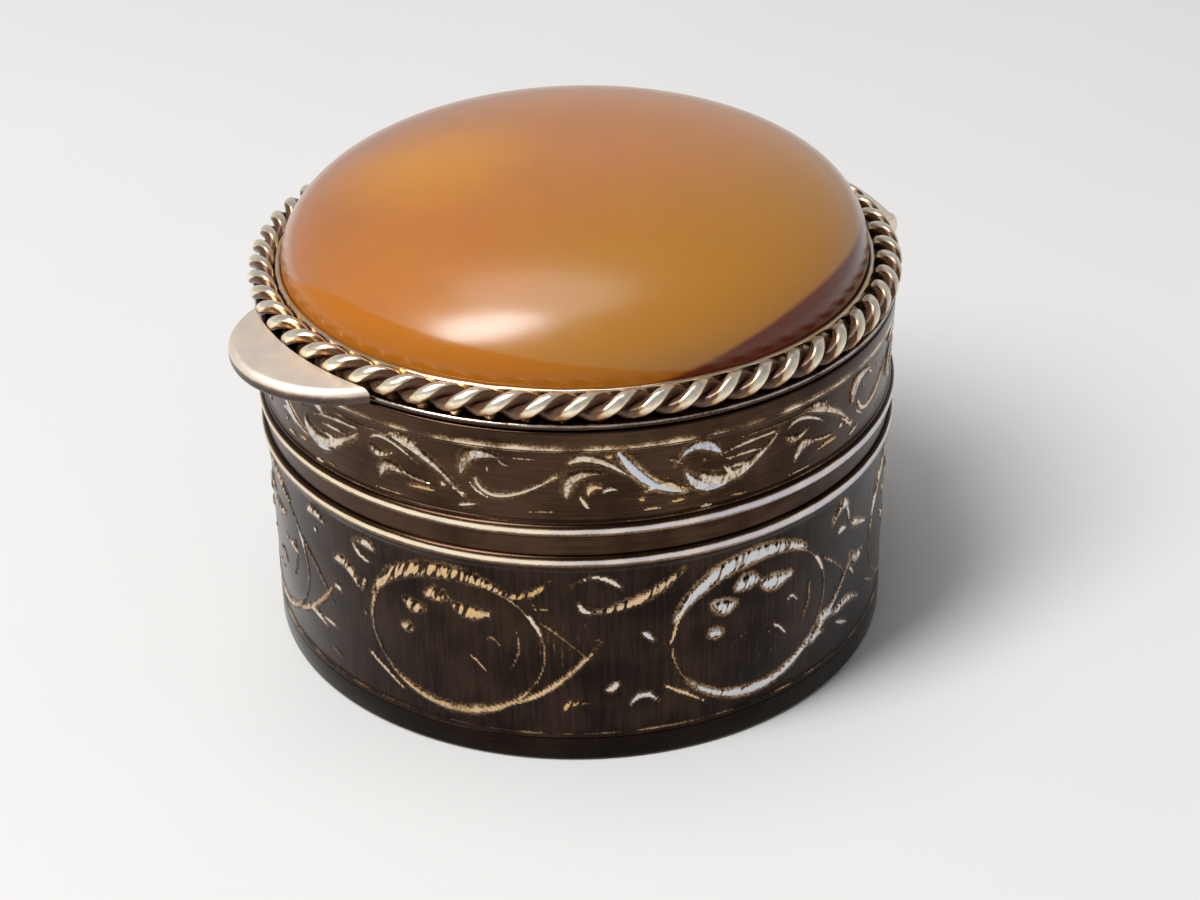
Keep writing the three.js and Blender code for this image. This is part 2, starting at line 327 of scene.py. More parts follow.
def clean(piece: bpy.types.Object) -> None:
    """Merges doubles, turns all faces outwards and shades the piece smooth up to its corners.

    Args:
        piece: the mesh object.
    """

    def mend() -> None:
        """Merges doubles and turns the faces outwards."""
        bpy.ops.mesh.select_all(action="SELECT")
        bpy.ops.mesh.remove_doubles(threshold=WELD)
        bpy.ops.mesh.normals_make_consistent(inside=False)

    in_edit_mode(piece, "VERT", mend)
    bpy.ops.object.shade_smooth_by_angle(angle=SMOOTH_ANGLE)


def spin(
    piece: bpy.types.Object, mode: str, steps: int, angle: float = FULL_TURN, **more: object
) -> None:
    """Spins all of a piece about the Z axis and cleans it.

    Args:
        piece: the mesh object.
        mode: what is spun, VERT, EDGE or FACE.
        steps: number of segments.
        angle: how far it is spun, in radians.
        more: other settings of the spin.
    """

    def sweep() -> None:
        """Selects all and spins it."""
        bpy.ops.mesh.select_all(action="SELECT")
        bpy.ops.mesh.spin(steps=steps, angle=angle, center=(0, 0, 0), axis=(0, 0, 1), **more)

    in_edit_mode(piece, mode, sweep)
    clean(piece)


def turned(name: str, profile: Sequence[Point], steps: int = TURNED_STEPS) -> bpy.types.Object:
    """Bends a circle into a profile and spins it about the Z axis.

    Args:
        name: name of the new piece.
        profile: (radius, height) points in order round the section. A profile whose first and
            last points lie on the axis is left open there.
        steps: number of segments round the axis.

    Returns:
        The closed piece.
    """
    deselect_all()
    bpy.ops.mesh.primitive_circle_add(vertices=len(profile), radius=BoxSizes.radius)
    piece = named(name)
    place_points(piece, np.array([(radius, 0.0, height) for radius, height in profile]))
    if profile[0][0] == 0 and profile[-1][0] == 0:
        ends = np.zeros(len(profile), bool)
        ends[[0, -1]] = True
        select_points(piece, ends)
        in_edit_mode(piece, "EDGE", lambda: bpy.ops.mesh.delete(type="EDGE"))
    spin(piece, "VERT", steps)
    return piece


def copied(
    piece: bpy.types.Object, name: str, shift: Sequence[float] = (0, 0, 0), turn: float = 0.0
) -> bpy.types.Object:
    """Copies a piece with its mesh and moves or turns the copy.

    Args:
        piece: the piece to copy.
        name: the copy's name.
        shift: how far it moves.
        turn: how far it turns about the Z axis, in radians.

    Returns:
        The copy, with its place in its mesh.
    """
    activate(piece)
    bpy.ops.object.duplicate()
    copy = named(name)
    put(copy, shift, (0.0, 0.0, turn))
    return copy


def apply_modifier(piece: bpy.types.Object, kind: str, **settings: object) -> None:
    """Adds a modifier and applies it.

    Args:
        piece: the mesh object.
        kind: the modifier's type.
        settings: its settings by name.
    """
    activate(piece)
    modifier = piece.modifiers.new(kind.title(), kind)
    for key, value in settings.items():
        setattr(modifier, key, value)
    bpy.ops.object.modifier_apply(modifier=modifier.name)


def round_edges(piece: bpy.types.Object, width: float, least_angle: float) -> None:
    """Rounds the edges of a piece that are sharper than an angle.

    Args:
        piece: the mesh object.
        width: how wide each rounding is.
        least_angle: the angle in degrees.
    """
    angle = math.radians(least_angle)
    apply_modifier(piece, "BEVEL", width=width, segments=4, limit_method="ANGLE", angle_limit=angle)
    clean(piece)


# Shader graphs


class Signal:
    """A number that a node gives. Arithmetic on it adds Math nodes."""

    def __init__(self, graph: "Graph", socket: bpy.types.NodeSocket) -> None:
        """Wraps one output socket of a graph."""
        self.graph = graph
        self.socket = socket

    def _math(self, operation: str, left: object, right: object) -> "Signal":
        """Adds one Math node for two values."""
        made = self.graph.node("ShaderNodeMath", {"operation": operation}, {0: left, 1: right})
        return Signal(self.graph, made.outputs[0])

    def __add__(self, other: object) -> "Signal":
        """self + other."""
        return self._math("ADD", self, other)

    __radd__ = __add__

    def __sub__(self, other: object) -> "Signal":
        """self - other."""
        return self._math("SUBTRACT", self, other)

    def __rsub__(self, other: object) -> "Signal":
        """other - self."""
        return self._math("SUBTRACT", other, self)

    def __mul__(self, other: object) -> "Signal":
        """self * other."""
        return self._math("MULTIPLY", self, other)

    __rmul__ = __mul__

    def __pow__(self, other: float) -> "Signal":
        """self to a power."""
        return self._math("POWER", self, other)

    def azimuth_from(self, across: "Signal") -> "Signal":
        """The angle whose tangent is self over across, in radians."""
        return self._math("ARCTAN2", self, across)

    def rise(self, low: float, high: float) -> "Signal":
        """0 below low, 1 above high, with a soft rise between.

        Args:
            low: value at which the rise starts.
            high: value at which it ends.

        Returns:
            The rise as a new signal.
        """
        inputs = {"Value": self, "From Min": low, "From Max": high}
        made = self.graph.node("ShaderNodeMapRange", {"interpolation_type": "SMOOTHSTEP"}, inputs)
        return Signal(self.graph, made.outputs["Result"])


class Graph:
    """The nodes of one material or of the world."""

    def __init__(self, owner: bpy.types.ID, shader: str = "Principled BSDF") -> None:
        """Starts on the owner's nodes.

        Args:
            owner: the new material or world.
            shader: name of the node whose sockets are set.
        """
        owner.use_nodes = True
        self.owner = owner
        self.tree = owner.node_tree
        self.shader = self.tree.nodes[shader]
        self.coordinates = self.node("ShaderNodeTexCoord")
        self.place = self.coordinates.outputs["Object"]

    def node(
        self, kind: str, settings: Optional[dict] = None, inputs: Optional[dict] = None
    ) -> bpy.types.Node:
        """Adds one node.

        Args:
            kind: the node's type.
            settings: its properties, set first. "stops" gives a ramp's (place, colour) stops.
            inputs: values, signals or sockets for its input sockets, by name or number.

        Returns:
            The new node.
        """
        made = self.tree.nodes.new(kind)
        for key, value in (settings or {}).items():
            if key == "stops":
                self._set_stops(made.color_ramp, value)
            else:
                setattr(made, key, value)
        for key, value in (inputs or {}).items():
            self.feed(made.inputs[key], value)
        return made

    @staticmethod
    def _set_stops(ramp: bpy.types.ColorRamp, stops: Sequence[tuple[float, Colour]]) -> None:
        """Gives a colour ramp its stops.

        Args:
            ramp: the new ramp.
            stops: (place, colour) stops in order.
        """
        while len(ramp.elements) < len(stops):
            ramp.elements.new(1.0)
        for element, (position, colour) in zip(ramp.elements, stops):
            element.position, element.color = position, (*colour, 1.0)

    def feed(self, socket: bpy.types.NodeSocket, value: object) -> None:
        """Links a signal or socket into a socket, or sets its value.

        Args:
            socket: the input socket.
            value: a Signal, an output socket, a number, a colour or a vector.
        """
        if isinstance(value, Signal):
            value = value.socket
        if isinstance(value, bpy.types.NodeSocket):
            self.tree.links.new(value, socket)
        elif socket.type == "RGBA":
            socket.default_value = (*value, 1.0)
        else:
            socket.default_value = value

    def split(self, place: Optional[bpy.types.NodeSocket] = None) -> tuple[Signal, Signal, Signal]:
        """X, Y and Z of a place as three signals, of Object coordinates if none is given."""
        made = self.node("ShaderNodeSeparateXYZ", None, {0: place or self.place})
        return tuple(Signal(self, output) for output in made.outputs)

    def attribute(self, name: str) -> Signal:
        """The piece's own per-vertex number of that name."""
        made = self.node("ShaderNodeAttribute", {"attribute_name": name})
        return Signal(self, made.outputs["Fac"])

    def noise(self, size: float, detail: float = 3.0, stretch: Colour = (1, 1, 1)) -> Signal:
        """Smooth noise from 0 to 1 on Object coordinates.

        Args:
            size: size of its largest features in metres.
            detail: number of finer layers.
            stretch: how many times the pattern is squeezed along each axis.

        Returns:
            The noise.
        """
        mapped = self.node("ShaderNodeMapping", None, {"Vector": self.place, "Scale": stretch})
        inputs = {"Vector": mapped.outputs[0], "Scale": 1.0 / size, "Detail": detail, "Roughness": 0.55}
        return Signal(self, self.node("ShaderNodeTexNoise", None, inputs).outputs["Fac"])

    def mix(self, share: Union[Signal, float], first: object, second: object) -> bpy.types.NodeSocket:
        """The socket of a mix of two colours or colour sockets, by the second's share from 0 to 1."""
        made = self.node("ShaderNodeMix", {"data_type": "RGBA"}, {0: share, 6: first, 7: second})
        return made.outputs[2]

    def ramp(self, value: Signal, stops: Sequence[tuple[float, Colour]]) -> bpy.types.NodeSocket:
        """The colour socket for a number from 0 to 1 among (place, colour) stops in order."""
        return self.node("ShaderNodeValToRGB", {"stops": stops}, {"Fac": value}).outputs["Color"]

    def bump(self, height: Signal, depth: float, strength: float = 1.0) -> bpy.types.NodeSocket:
        """The normal's socket for small relief of a depth in metres, as strong as given."""
        inputs = {"Height": height, "Distance": depth, "Strength": strength}
        return self.node("ShaderNodeBump", None, inputs).outputs["Normal"]

    def set(self, **inputs: object) -> None:
        """Sets or links the shader's sockets, named with underscores for spaces."""
        for key, value in inputs.items():
            self.feed(self.shader.inputs[key.replace("_", " ")], value)


# Finishes


@dataclass(frozen=True)
class SilverFinish:
    """Silver with a dark patina in its hollows, rubbed bright where hands reach it.

    The polish attribute says how far the patina is rubbed off; on the rope, the beads, the lid's plate
    and the thumbpiece it also carries painted highlights and painted shade. The gold attribute says how
    warm the bare silver looks: 0 is blue-white, 0.35 cream and 1 golden; on the beads it also carries a
    painted reflection tint, warm on the left and cool on the right. The hatch attribute says where the
    graver left cuts side by side. The patina is painted lighter towards -Y, the side that the key lamp
    lights.
    """

    name: str
    slot: Slot
    cool: Colour = (0.56, 0.61, 0.70)
    cream: Colour = (0.76, 0.67, 0.55)
    golden: Colour = (0.70, 0.41, 0.12)
    fringe: Colour = (0.26, 0.155, 0.075)
    patina: Colour = (0.030, 0.016, 0.0098)
    patina_streak: Colour = (0.078, 0.043, 0.026)
    bare_roughness: float = 0.19
    patina_roughness: float = 0.25
    stipple: float = 0.7
    stipple_size: float = 0.16 * MM
    streaks: float = 0.1
    streak_size: float = 3.5 * MM
    streak_stretch: Colour = (1, 1, 40)
    cloud_size: float = 4 * MM
    patina_metal: float = 1.0
    bare_metal: float = 1.0
    uneven: float = 0.9
    uneven_size: float = 1.1 * MM
    relief: float = 0.007 * MM
    cream_at: float = 0.35
    worn_rise: Point = (0.12, 0.93)
    fringe_rise: Point = (0.05, 0.5)
    bare_rise: Point = (0.35, 0.92)
    uneven_gloss: float = 0.12
    hatch_width: float = 0.3 * MM
    hatch_lean: float = 0.3
    hatch_run: float = 0.25

    def _cuts(self, graph: Graph) -> Signal:
        """The graver's cuts side by side round the wall, uneven in width and length.

        Args:
            graph: the material's graph.

        Returns:
            0 in each cut and 1 between them.
        """
        x, y, z = graph.split()
        around = x.azimuth_from(0 - y) * BoxSizes.radius - z * self.hatch_lean
        unrolled = graph.node("ShaderNodeCombineXYZ", None, {0: around, 1: z * self.hatch_run})
        inputs = {"Vector": unrolled.outputs[0], "Scale": 1 / self.hatch_width, "Detail": 1.0}
        made = graph.node("ShaderNodeTexNoise", None, inputs)
        return Signal(graph, made.outputs["Fac"]).rise(0.36, 0.62)

    def build(self) -> bpy.types.Material:
        """Makes the material.

        Returns:
            The material.
        """
        graph = Graph(bpy.data.materials.new(self.name))
        grain = graph.noise(self.stipple_size, 2)
        hatch = graph.attribute(HATCH)
        cuts = (self._cuts(graph) - 0.6) * hatch
        clouds = graph.noise(self.cloud_size, 3)
        uneven = graph.noise(self.uneven_size, 2)
        streaks = graph.noise(self.streak_size, 5, self.streak_stretch)
        polish = graph.attribute(POLISH)
        unsure = polish * (1 - polish * 0.8) * self.stipple * 3.0
        rub = polish * ((uneven - 0.5) * self.uneven + 1)
        worn = rub + (grain - 0.5) * unsure + (streaks - 0.5) * self.streaks + cuts
        worn = worn.rise(*self.worn_rise)
        _, y, _ = graph.split()
        # Patina tone: random streaks and clouds, plus painted light that makes the patina lighter towards -Y,
        # the side that the key lamp lights.
        handled_and_lit = streaks * 0.4 + clouds * 0.6 - y * (0.1 / BoxSizes.radius)
        patina = graph.mix(handled_and_lit.rise(0.4, 0.72), self.patina, self.patina_streak)
        warmth = graph.attribute(GOLD) + (clouds - 0.5) * 0.3
        tint = graph.ramp(warmth, ((0.0, self.cool), (self.cream_at, self.cream), (1.0, self.golden)))
        low = graph.mix(worn.rise(*self.fringe_rise), patina, self.fringe)
        graph.set(
            Base_Color=graph.mix(worn.rise(*self.bare_rise), low, tint),
            Metallic=worn.rise(0.0, 0.35) * (1 - self.patina_metal)
            + self.patina_metal
            - worn.rise(0.5, 1.0) * (1 - self.bare_metal),
            Roughness=worn * (self.bare_roughness - self.patina_roughness)
            + self.patina_roughness
            + (grain - 0.5) * self.uneven_gloss
            + (streaks - 0.5) * self.uneven_gloss,
            Normal=graph.bump(streaks + grain * (worn.rise(0.1, 0.5) * 1.6) + cuts * 2.5, self.relief, 0.6),
        )
        return graph.owner


@dataclass(frozen=True)
class AgateFinish:
    """Honey agate: clouded, with a golden patch, an amber foot darkened as a painted reflection of the rope
    and collar, and a dark brown side.
    """

    name: str = "agate"
    slot: Slot = Slot.AGATE
    honey: Colour = (0.41, 0.142, 0.028)
    amber: Colour = (0.53, 0.205, 0.012)
    olive: Colour = (0.36, 0.165, 0.018)
    foot: Colour = (0.40, 0.125, 0.003)
    russet: Colour = (0.30, 0.095, 0.016)
    shadow: Colour = (0.115, 0.012, 0.004)
    patch_place: Point = (-4.6 * MM, -6.9 * MM)
    patch_reach: float = 8.5 * MM
    olive_azimuth: float = 105.0
    foot_azimuth: float = 5.0
    russet_azimuth: float = -62.0
    shadow_azimuth: float = 130.0
    roughness: float = 0.24
    ior: float = 1.34
    coat_roughness: float = 0.28
    coat_ior: float = 1.42
    glow: float = 0.35
    glow_reach: Colour = (3.2 * MM, 1.3 * MM, 0.5 * MM)

    def build(self) -> bpy.types.Material:
        """Makes the material.

        Returns:
            The material.
        """
        graph = Graph(bpy.data.materials.new(self.name))
        radius = StoneSetting.stone_radius
        x, y, z = graph.split()
        up = (z - StoneSetting.girdle_top) * (1.0 / StoneSetting.dome)
        clouds = graph.noise(11 * MM, 2, (1, 1, 2.2))
        veil = graph.noise(4 * MM, 2, (1, 1, 2.5))

        def towards(azimuth: float) -> Signal:
            """How far towards that azimuth, from -1 to 1 at the girdle."""
            turn = math.radians(azimuth)
            return x * (math.sin(turn) / radius) - y * (math.cos(turn) / radius)

        off_x, off_y = x - self.patch_place[0], y - self.patch_place[1]
        off = (off_x * off_x + off_y * off_y) ** 0.5 * (1 / self.patch_reach)
        patch = (off + (clouds - 0.5) * 0.8).rise(1.0, 0.1)
        olive = (towards(self.olive_azimuth) + (clouds - 0.5) * 0.7).rise(0.0, 0.75)
        body = graph.mix(veil.rise(0.3, 0.7) * 0.16, self.honey, self.amber)
        body = graph.mix(towards(self.russet_azimuth).rise(0.15, 1.0) * 0.9, body, self.russet)
        body = graph.mix(patch * 0.85, body, self.amber)
        body = graph.mix(olive * 0.75, body, self.olive)
        # The foot band is partly the stone's own amber and partly a painted dark reflection of the rope and
        # collar; its coat is thinned there too.
        foot_top = towards(self.foot_azimuth) * 0.434 - 0.069
        foot_top = foot_top * towards(self.foot_azimuth + 40).rise(0.2, 0.75)
        foot = (foot_top - up + (veil - 0.5) * 0.03).rise(-0.015, 0.02)
        body = graph.mix(foot * 0.8, body, self.foot)
        reach = towards(self.shadow_azimuth).rise(0.4, 0.98) * 0.37
        shadow = (reach - up + (veil - 0.5) * 0.03).rise(-0.03, 0.025)
        ripple = graph.noise(1.5 * MM, 1) + graph.noise(0.35 * MM, 2).rise(0.72, 0.82) * 0.2
        graph.set(
            Base_Color=graph.mix(shadow * 0.95, body, self.shadow),
            Roughness=self.roughness + (veil - 0.5) * 0.08,
            IOR=self.ior,
            Coat_Weight=1 - foot * 0.9,
            Coat_Roughness=self.coat_roughness,
            Coat_IOR=self.coat_ior,
            Subsurface_Weight=self.glow,
            Subsurface_Radius=self.glow_reach,
            Subsurface_Scale=1.0,
            Normal=graph.bump(ripple, 0.02 * MM, 0.5),
        )
        return graph.owner


@dataclass(frozen=True)
class CementFinish:
    """Matt brown setting cement, grainy."""

    name: str = "setting_cement"
    slot: Slot = Slot.CEMENT
    light: Colour = (0.30, 0.18, 0.10)
    dark: Colour = (0.13, 0.07, 0.04)

    def build(self) -> bpy.types.Material:
        """Makes the material.

        Returns:
            The material.
        """
        graph = Graph(bpy.data.materials.new(self.name))
        grain = graph.noise(0.6 * MM, 6)
        graph.set(
            Base_Color=graph.mix(grain.rise(0.3, 0.7), self.dark, self.light),
            Roughness=0.75 + grain * 0.2,
            Normal=graph.bump(grain, 0.05 * MM),
        )
        return graph.owner


WALL_SILVER = SilverFinish("dark_silver", Slot.DARK)
BRUSHED_WALL_SILVER = replace(
    WALL_SILVER, name="upright_brushed_silver", streak_stretch=(16, 16, 1), streaks=0.07,
    patina=(0.0145, 0.0105, 0.009), patina_streak=(0.044, 0.027, 0.019),
)
FOOT_SILVER = replace(
    WALL_SILVER, name="foot_silver", patina=(0.013, 0.0088, 0.0065), patina_streak=(0.022, 0.015, 0.011),
)
TRIM_SILVER = SilverFinish(
    "bright_silver", Slot.BRIGHT, cool=(0.56, 0.54, 0.60), cream=(0.96, 0.83, 0.64),
    golden=(0.72, 0.48, 0.18), stipple=0.35, uneven=0.25,
)
# The rope's patina and fringe are lighter and warmer than the wall's: painted light in the hollows and on the
# shaded flanks of the strands.
WIRE_SILVER = replace(
    TRIM_SILVER, name="wire_silver", cream=(0.99, 0.88, 0.68), golden=(0.66, 0.40, 0.15),
    fringe=(0.32, 0.16, 0.065), bare_roughness=0.22, patina=(0.085, 0.040, 0.022),
    patina_streak=(0.12, 0.062, 0.034), patina_metal=0.3, bare_metal=0.85, stipple=0.15,
)
SATIN_SILVER = SilverFinish(
    "satin_silver", Slot.SATIN, cream=(0.98, 0.84, 0.70), fringe=(0.30, 0.22, 0.18),
    patina=(0.07, 0.05, 0.042), patina_streak=(0.11, 0.082, 0.068), bare_roughness=0.55, uneven=0.1,
    stipple=0.12, streaks=0.1, streak_size=0.9 * MM, streak_stretch=(1, 1, 5), relief=0.003 * MM,
)
INSIDE_SILVER = replace(
    SATIN_SILVER, name="inside_silver", cream=(0.80, 0.71, 0.58), stipple=0.4, streaks=0.3,
    streak_stretch=(1, 1, 20),
)
PIN_METAL = SilverFinish(
    "pin_metal", Slot.PIN, cool=(0.5, 0.51, 0.53), cream=(0.56, 0.55, 0.53), golden=(0.5, 0.43, 0.33),
    bare_roughness=0.3, streak_stretch=(14, 1, 1),
)
AGATE = AgateFinish()
CEMENT = CementFinish()

Finish = Union[SilverFinish, AgateFinish, CementFinish]
_made: dict[str, bpy.types.Material] = {}


def dress(piece: bpy.types.Object, finish: Finish) -> None:
    """Gives a piece its finish as its only material.

    Args:
        piece: the mesh object.
        finish: the finish, whose material is made once.
    """
    if finish.name not in _made:
        _made[finish.name] = finish.build()
    piece.data.materials.clear()
    piece.data.materials.append(_made[finish.name])


def hand_in(piece: bpy.types.Object, body: str, finish: Finish, *nodes: str) -> None:
    """Dresses a finished piece, puts it on its body and reports it.

    Args:
        piece: the finished mesh object.
        body: the body that it moves with.
        finish: its finish.
        nodes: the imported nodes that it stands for.
    """
    dress(piece, finish)
    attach(piece, body)
    if nodes:
        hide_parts(*nodes)
    log.info("%s: %d faces on %s", piece.name, len(piece.data.polygons), body)


# Engraving


class Form(Enum):
    """Whether a stroke stands up from the sunk field or is cut into it."""

    RAISED = 1.0
    CUT = -1.0


def samples(length: float) -> np.ndarray:
    """Shares from 0 to 1 along a run of that length in millimetres."""
    return np.linspace(0.0, 1.0, max(6, int(length / RUN_SAMPLE_MM)))


@dataclass(frozen=True)
class Stroke:
    """One leaf, scroll or cut that swells along its run and ends in points.

    Places are (azimuth in degrees, height in millimetres) on the outside of the wall. The run is
    a curve that leaves start towards bend and reaches end from bend.
    """

    start: Point
    bend: Point
    end: Point
    half_width: float
    fat: float = 0.5
    form: Form = Form.RAISED
    polish: float = 0.85
    gold: float = 0.35
    hatch: float = 0.0
    blunt: float = 0.0

    @property
    def halo(self) -> float:
        """How far the patina is thinned beside it: more beside fat and bright strokes."""
        return self.polish * min(0.4, 0.12 + 1.0 * self.half_width)

    @property
    def crest(self) -> float:
        """How far in from the edge the rub is full: thin strokes at once, fat ones later."""
        return min(0.6, max(0.3, 0.3 + 1.1 * (self.half_width - 0.1)))

    def moved(self, degrees: float) -> "Stroke":
        """The same stroke further round the wall.

        Args:
            degrees: how far.

        Returns:
            The moved stroke.
        """
        places = (self.start, self.bend, self.end)
        start, bend, end = ((azimuth + degrees, height) for azimuth, height in places)
        return replace(self, start=start, bend=bend, end=end)

    def run(self) -> tuple[np.ndarray, np.ndarray, np.ndarray]:
        """Samples the stroke.

        Returns:
            Distance round the wall, height and half width at each sample, in millimetres.
        """
        points = np.array([self.start, self.bend, self.end]) * (MM_PER_DEGREE, 1.0)
        length = np.linalg.norm(points[1] - points[0]) + np.linalg.norm(points[2] - points[1])
        share = samples(length)
        weights = np.stack([(1 - share) ** 2, 2 * share * (1 - share), share**2], axis=-1)
        around, height = (weights @ points).T
        return around, height, self.half_width * self.swell(share)

    def swell(self, share: np.ndarray) -> np.ndarray:
        """How full the stroke is along its run, from 0 at its points to 1 where it is fattest."""
        bent = share ** (math.log(0.5) / math.log(self.fat))
        return np.maximum(np.sin(math.pi * bent) ** 0.8, np.maximum(self.blunt, 0.06))


@dataclass(frozen=True)
class Sweep(Stroke):
    """A stroke that follows an ellipse.

    start is its centre, bend its half axes in millimetres, and end its first and last angle in
    degrees, anticlockwise from the right.
    """

    def moved(self, degrees: float) -> "Sweep":
        """The same sweep further round the wall."""
        return replace(self, start=(self.start[0] + degrees, self.start[1]))

    def run(self) -> tuple[np.ndarray, np.ndarray, np.ndarray]:
        """Samples the sweep.

        Returns:
            Distance round the wall, height and half width at each sample, in millimetres.
        """
        first, last = np.radians(self.end)
        length = abs(last - first) * max(self.bend)
        share = samples(length)
        angle = first + (last - first) * share
        around = self.start[0] * MM_PER_DEGREE + self.bend[0] * np.cos(angle)
        return around, self.start[1] + self.bend[1] * np.sin(angle), self.half_width * self.swell(share)


def dot(azimuth: float, height: float, size: float, **more: object) -> Stroke:
    """A round pip.

    Args:
        azimuth: its azimuth in degrees.
        height: its height in millimetres.
        size: its radius in millimetres.
        more: other fields of the stroke.

    Returns:
        The pip as a very short stroke.
    """
    reach = 0.2 * size / MM_PER_DEGREE
    left, right = (azimuth - reach, height), (azimuth + reach, height)
    return Stroke(left, (azimuth, height), right, size, blunt=1.0, **more)


class UpperOrnament:
    """Running scroll of the upper band: comb leaf, arch, comma, curl, long leaf and eye."""

    turns = (0.0, 74.0, 145.5, 217.0, 288.5)
    comb_leaf = (
        Stroke((-9.0, 18.75), (-5.2, 19.5), (-3.0, 18.35), 0.3, 0.55, polish=0.7),
        Stroke((0.2, 19.35), (4.4, 17.35), (15.8, 20.8), 0.52, 0.33, polish=0.64, hatch=0.15),
        Stroke((4.6, 19.3), (6.6, 19.35), (9.4, 19.3), 0.12, 0.6, polish=0.65),
        Stroke((5.2, 19.85), (8.0, 20.1), (12.0, 19.9), 0.13, 0.55, polish=0.7),
        Stroke((2.8, 20.15), (8.0, 20.85), (15.4, 20.7), 0.13, 0.6, polish=0.7),
        Stroke((8.0, 21.08), (16.0, 21.1), (29.0, 21.05), 0.07, polish=0.6, gold=0.6),
        Stroke((5.6, 17.35), (7.4, 17.4), (9.6, 17.2), 0.08, polish=0.6, gold=0.9),
    )
    arch = (
        Stroke((17.2, 20.5), (20.0, 21.45), (26.6, 19.7), 0.14, 0.4, polish=0.75),
        Stroke((21.8, 21.1), (28.6, 20.7), (34.8, 18.25), 0.27, 0.3, polish=0.64, hatch=0.1),
        Stroke((20.6, 21.2), (24.0, 21.55), (27.6, 20.6), 0.18, polish=0.55, hatch=0.3),
        Stroke((17.1, 20.05), (18.3, 19.3), (22.2, 20.02), 0.3, 0.35, polish=0.6, hatch=0.3),
        Stroke((19.0, 18.1), (19.8, 19.5), (23.6, 18.8), 0.44, polish=0.6, hatch=0.15),
        Stroke((23.4, 18.95), (26.0, 18.6), (29.2, 18.6), 0.13, 0.4, gold=0.6, polish=0.6),
        Stroke((24.6, 18.05), (27.4, 18.3), (30.2, 18.12), 0.14, gold=0.9, polish=0.8),
        Stroke((30.6, 19.3), (33.0, 18.9), (35.0, 18.0), 0.07, 0.6, gold=0.5, polish=0.9),
        dot(31.2, 18.75, 0.13, polish=1.0),
        dot(33.2, 18.62, 0.11, polish=1.0),
        dot(34.6, 18.4, 0.13, polish=0.9),
        Stroke((33.8, 17.55), (35.2, 17.65), (37.4, 17.9), 0.12, polish=0.8),
        Stroke((17.8, 17.3), (20.5, 17.35), (23.6, 17.3), 0.06, polish=0.7, gold=0.8),
    )
    comma = (
        Stroke((34.6, 19.7), (34.7, 21.6), (41.4, 21.05), 0.5, 0.4, polish=0.62, hatch=0.15, gold=0.22),
        Stroke((36.9, 19.5), (39.2, 17.25), (52.0, 20.4), 0.17, 0.35, polish=0.95, gold=0.5),
        Stroke((36.0, 19.15), (36.9, 18.6), (39.2, 18.3), 0.07, polish=0.85),
        Stroke((39.0, 20.4), (39.0, 20.2), (39.1, 19.9), 0.07, polish=0.7, gold=0.6),
        Stroke((40.8, 20.95), (41.6, 20.6), (42.8, 20.55), 0.12, polish=0.55),
        Stroke((42.0, 21.1), (45.0, 21.12), (49.0, 21.05), 0.05, polish=0.6),
        Stroke((43.0, 20.62), (45.0, 20.66), (47.0, 20.6), 0.05, polish=0.4),
        Stroke((45.0, 17.6), (48.0, 17.7), (52.0, 17.65), 0.07, polish=0.55, gold=0.8),
    )
    curl = (
        Stroke((52.3, 20.85), (55.6, 21.95), (62.8, 19.7), 0.3, 0.38, polish=0.68, gold=0.4),
        Stroke((52.0, 18.6), (51.4, 20.5), (58.4, 20.15), 0.38, 0.4, polish=0.56, gold=0.4),
        Stroke((55.4, 18.75), (56.0, 19.6), (57.6, 19.2), 0.22, gold=0.8, polish=0.75, hatch=0.3),
        Stroke((57.8, 18.85), (58.8, 19.3), (60.3, 19.0), 0.16, polish=0.8),
        Stroke((54.1, 18.75), (54.8, 18.2), (55.6, 17.85), 0.13, polish=0.85, gold=0.5),
        dot(58.9, 21.25, 0.17, gold=0.9, polish=0.8),
        dot(64.3, 18.25, 0.13, gold=0.9),
        Stroke((64.6, 17.55), (66.0, 17.62), (67.4, 17.52), 0.12, gold=0.7, polish=0.8),
        Stroke((69.2, 17.8), (70.4, 17.9), (71.9, 17.85), 0.12, gold=0.9, polish=0.8),
    )
    long_leaf = (
        Stroke((60.4, 21.55), (64.9, 18.75), (71.8, 18.38), 0.3, 0.32, polish=1.0, gold=0.05),
        Stroke((62.6, 21.0), (66.0, 19.1), (72.6, 18.5), 0.07, 0.6, polish=0.9, gold=0.95),
    )
    eye = (
        Stroke((69.8, 20.2), (73.6, 22.2), (78.0, 20.4), 0.42, 0.66, polish=0.66, gold=0.03, hatch=0.1),
        Stroke((71.6, 19.75), (73.4, 18.0), (79.4, 18.4), 0.42, 0.52, polish=0.7, gold=0.12, hatch=0.1),
        dot(74.9, 20.2, 0.1, polish=0.6),
        Stroke((68.6, 20.7), (69.8, 20.6), (71.2, 20.2), 0.18, polish=0.45),
        Stroke((74.0, 17.1), (75.2, 17.2), (76.6, 17.1), 0.1, polish=0.8),
        Stroke((78.6, 19.4), (79.6, 19.1), (80.3, 18.6), 0.16, polish=0.85, gold=0.5),
        Stroke((78.2, 19.95), (80.6, 20.0), (83.0, 19.9), 0.06, polish=0.7, gold=0.8),
    )

    @classmethod
    def strokes(cls) -> list[Stroke]:
        """The whole band: the scroll repeated round the wall."""
        unit = (*cls.comb_leaf, *cls.arch, *cls.comma, *cls.curl, *cls.long_leaf, *cls.eye)
        return [stroke.moved(turn) for turn in cls.turns for stroke in unit]


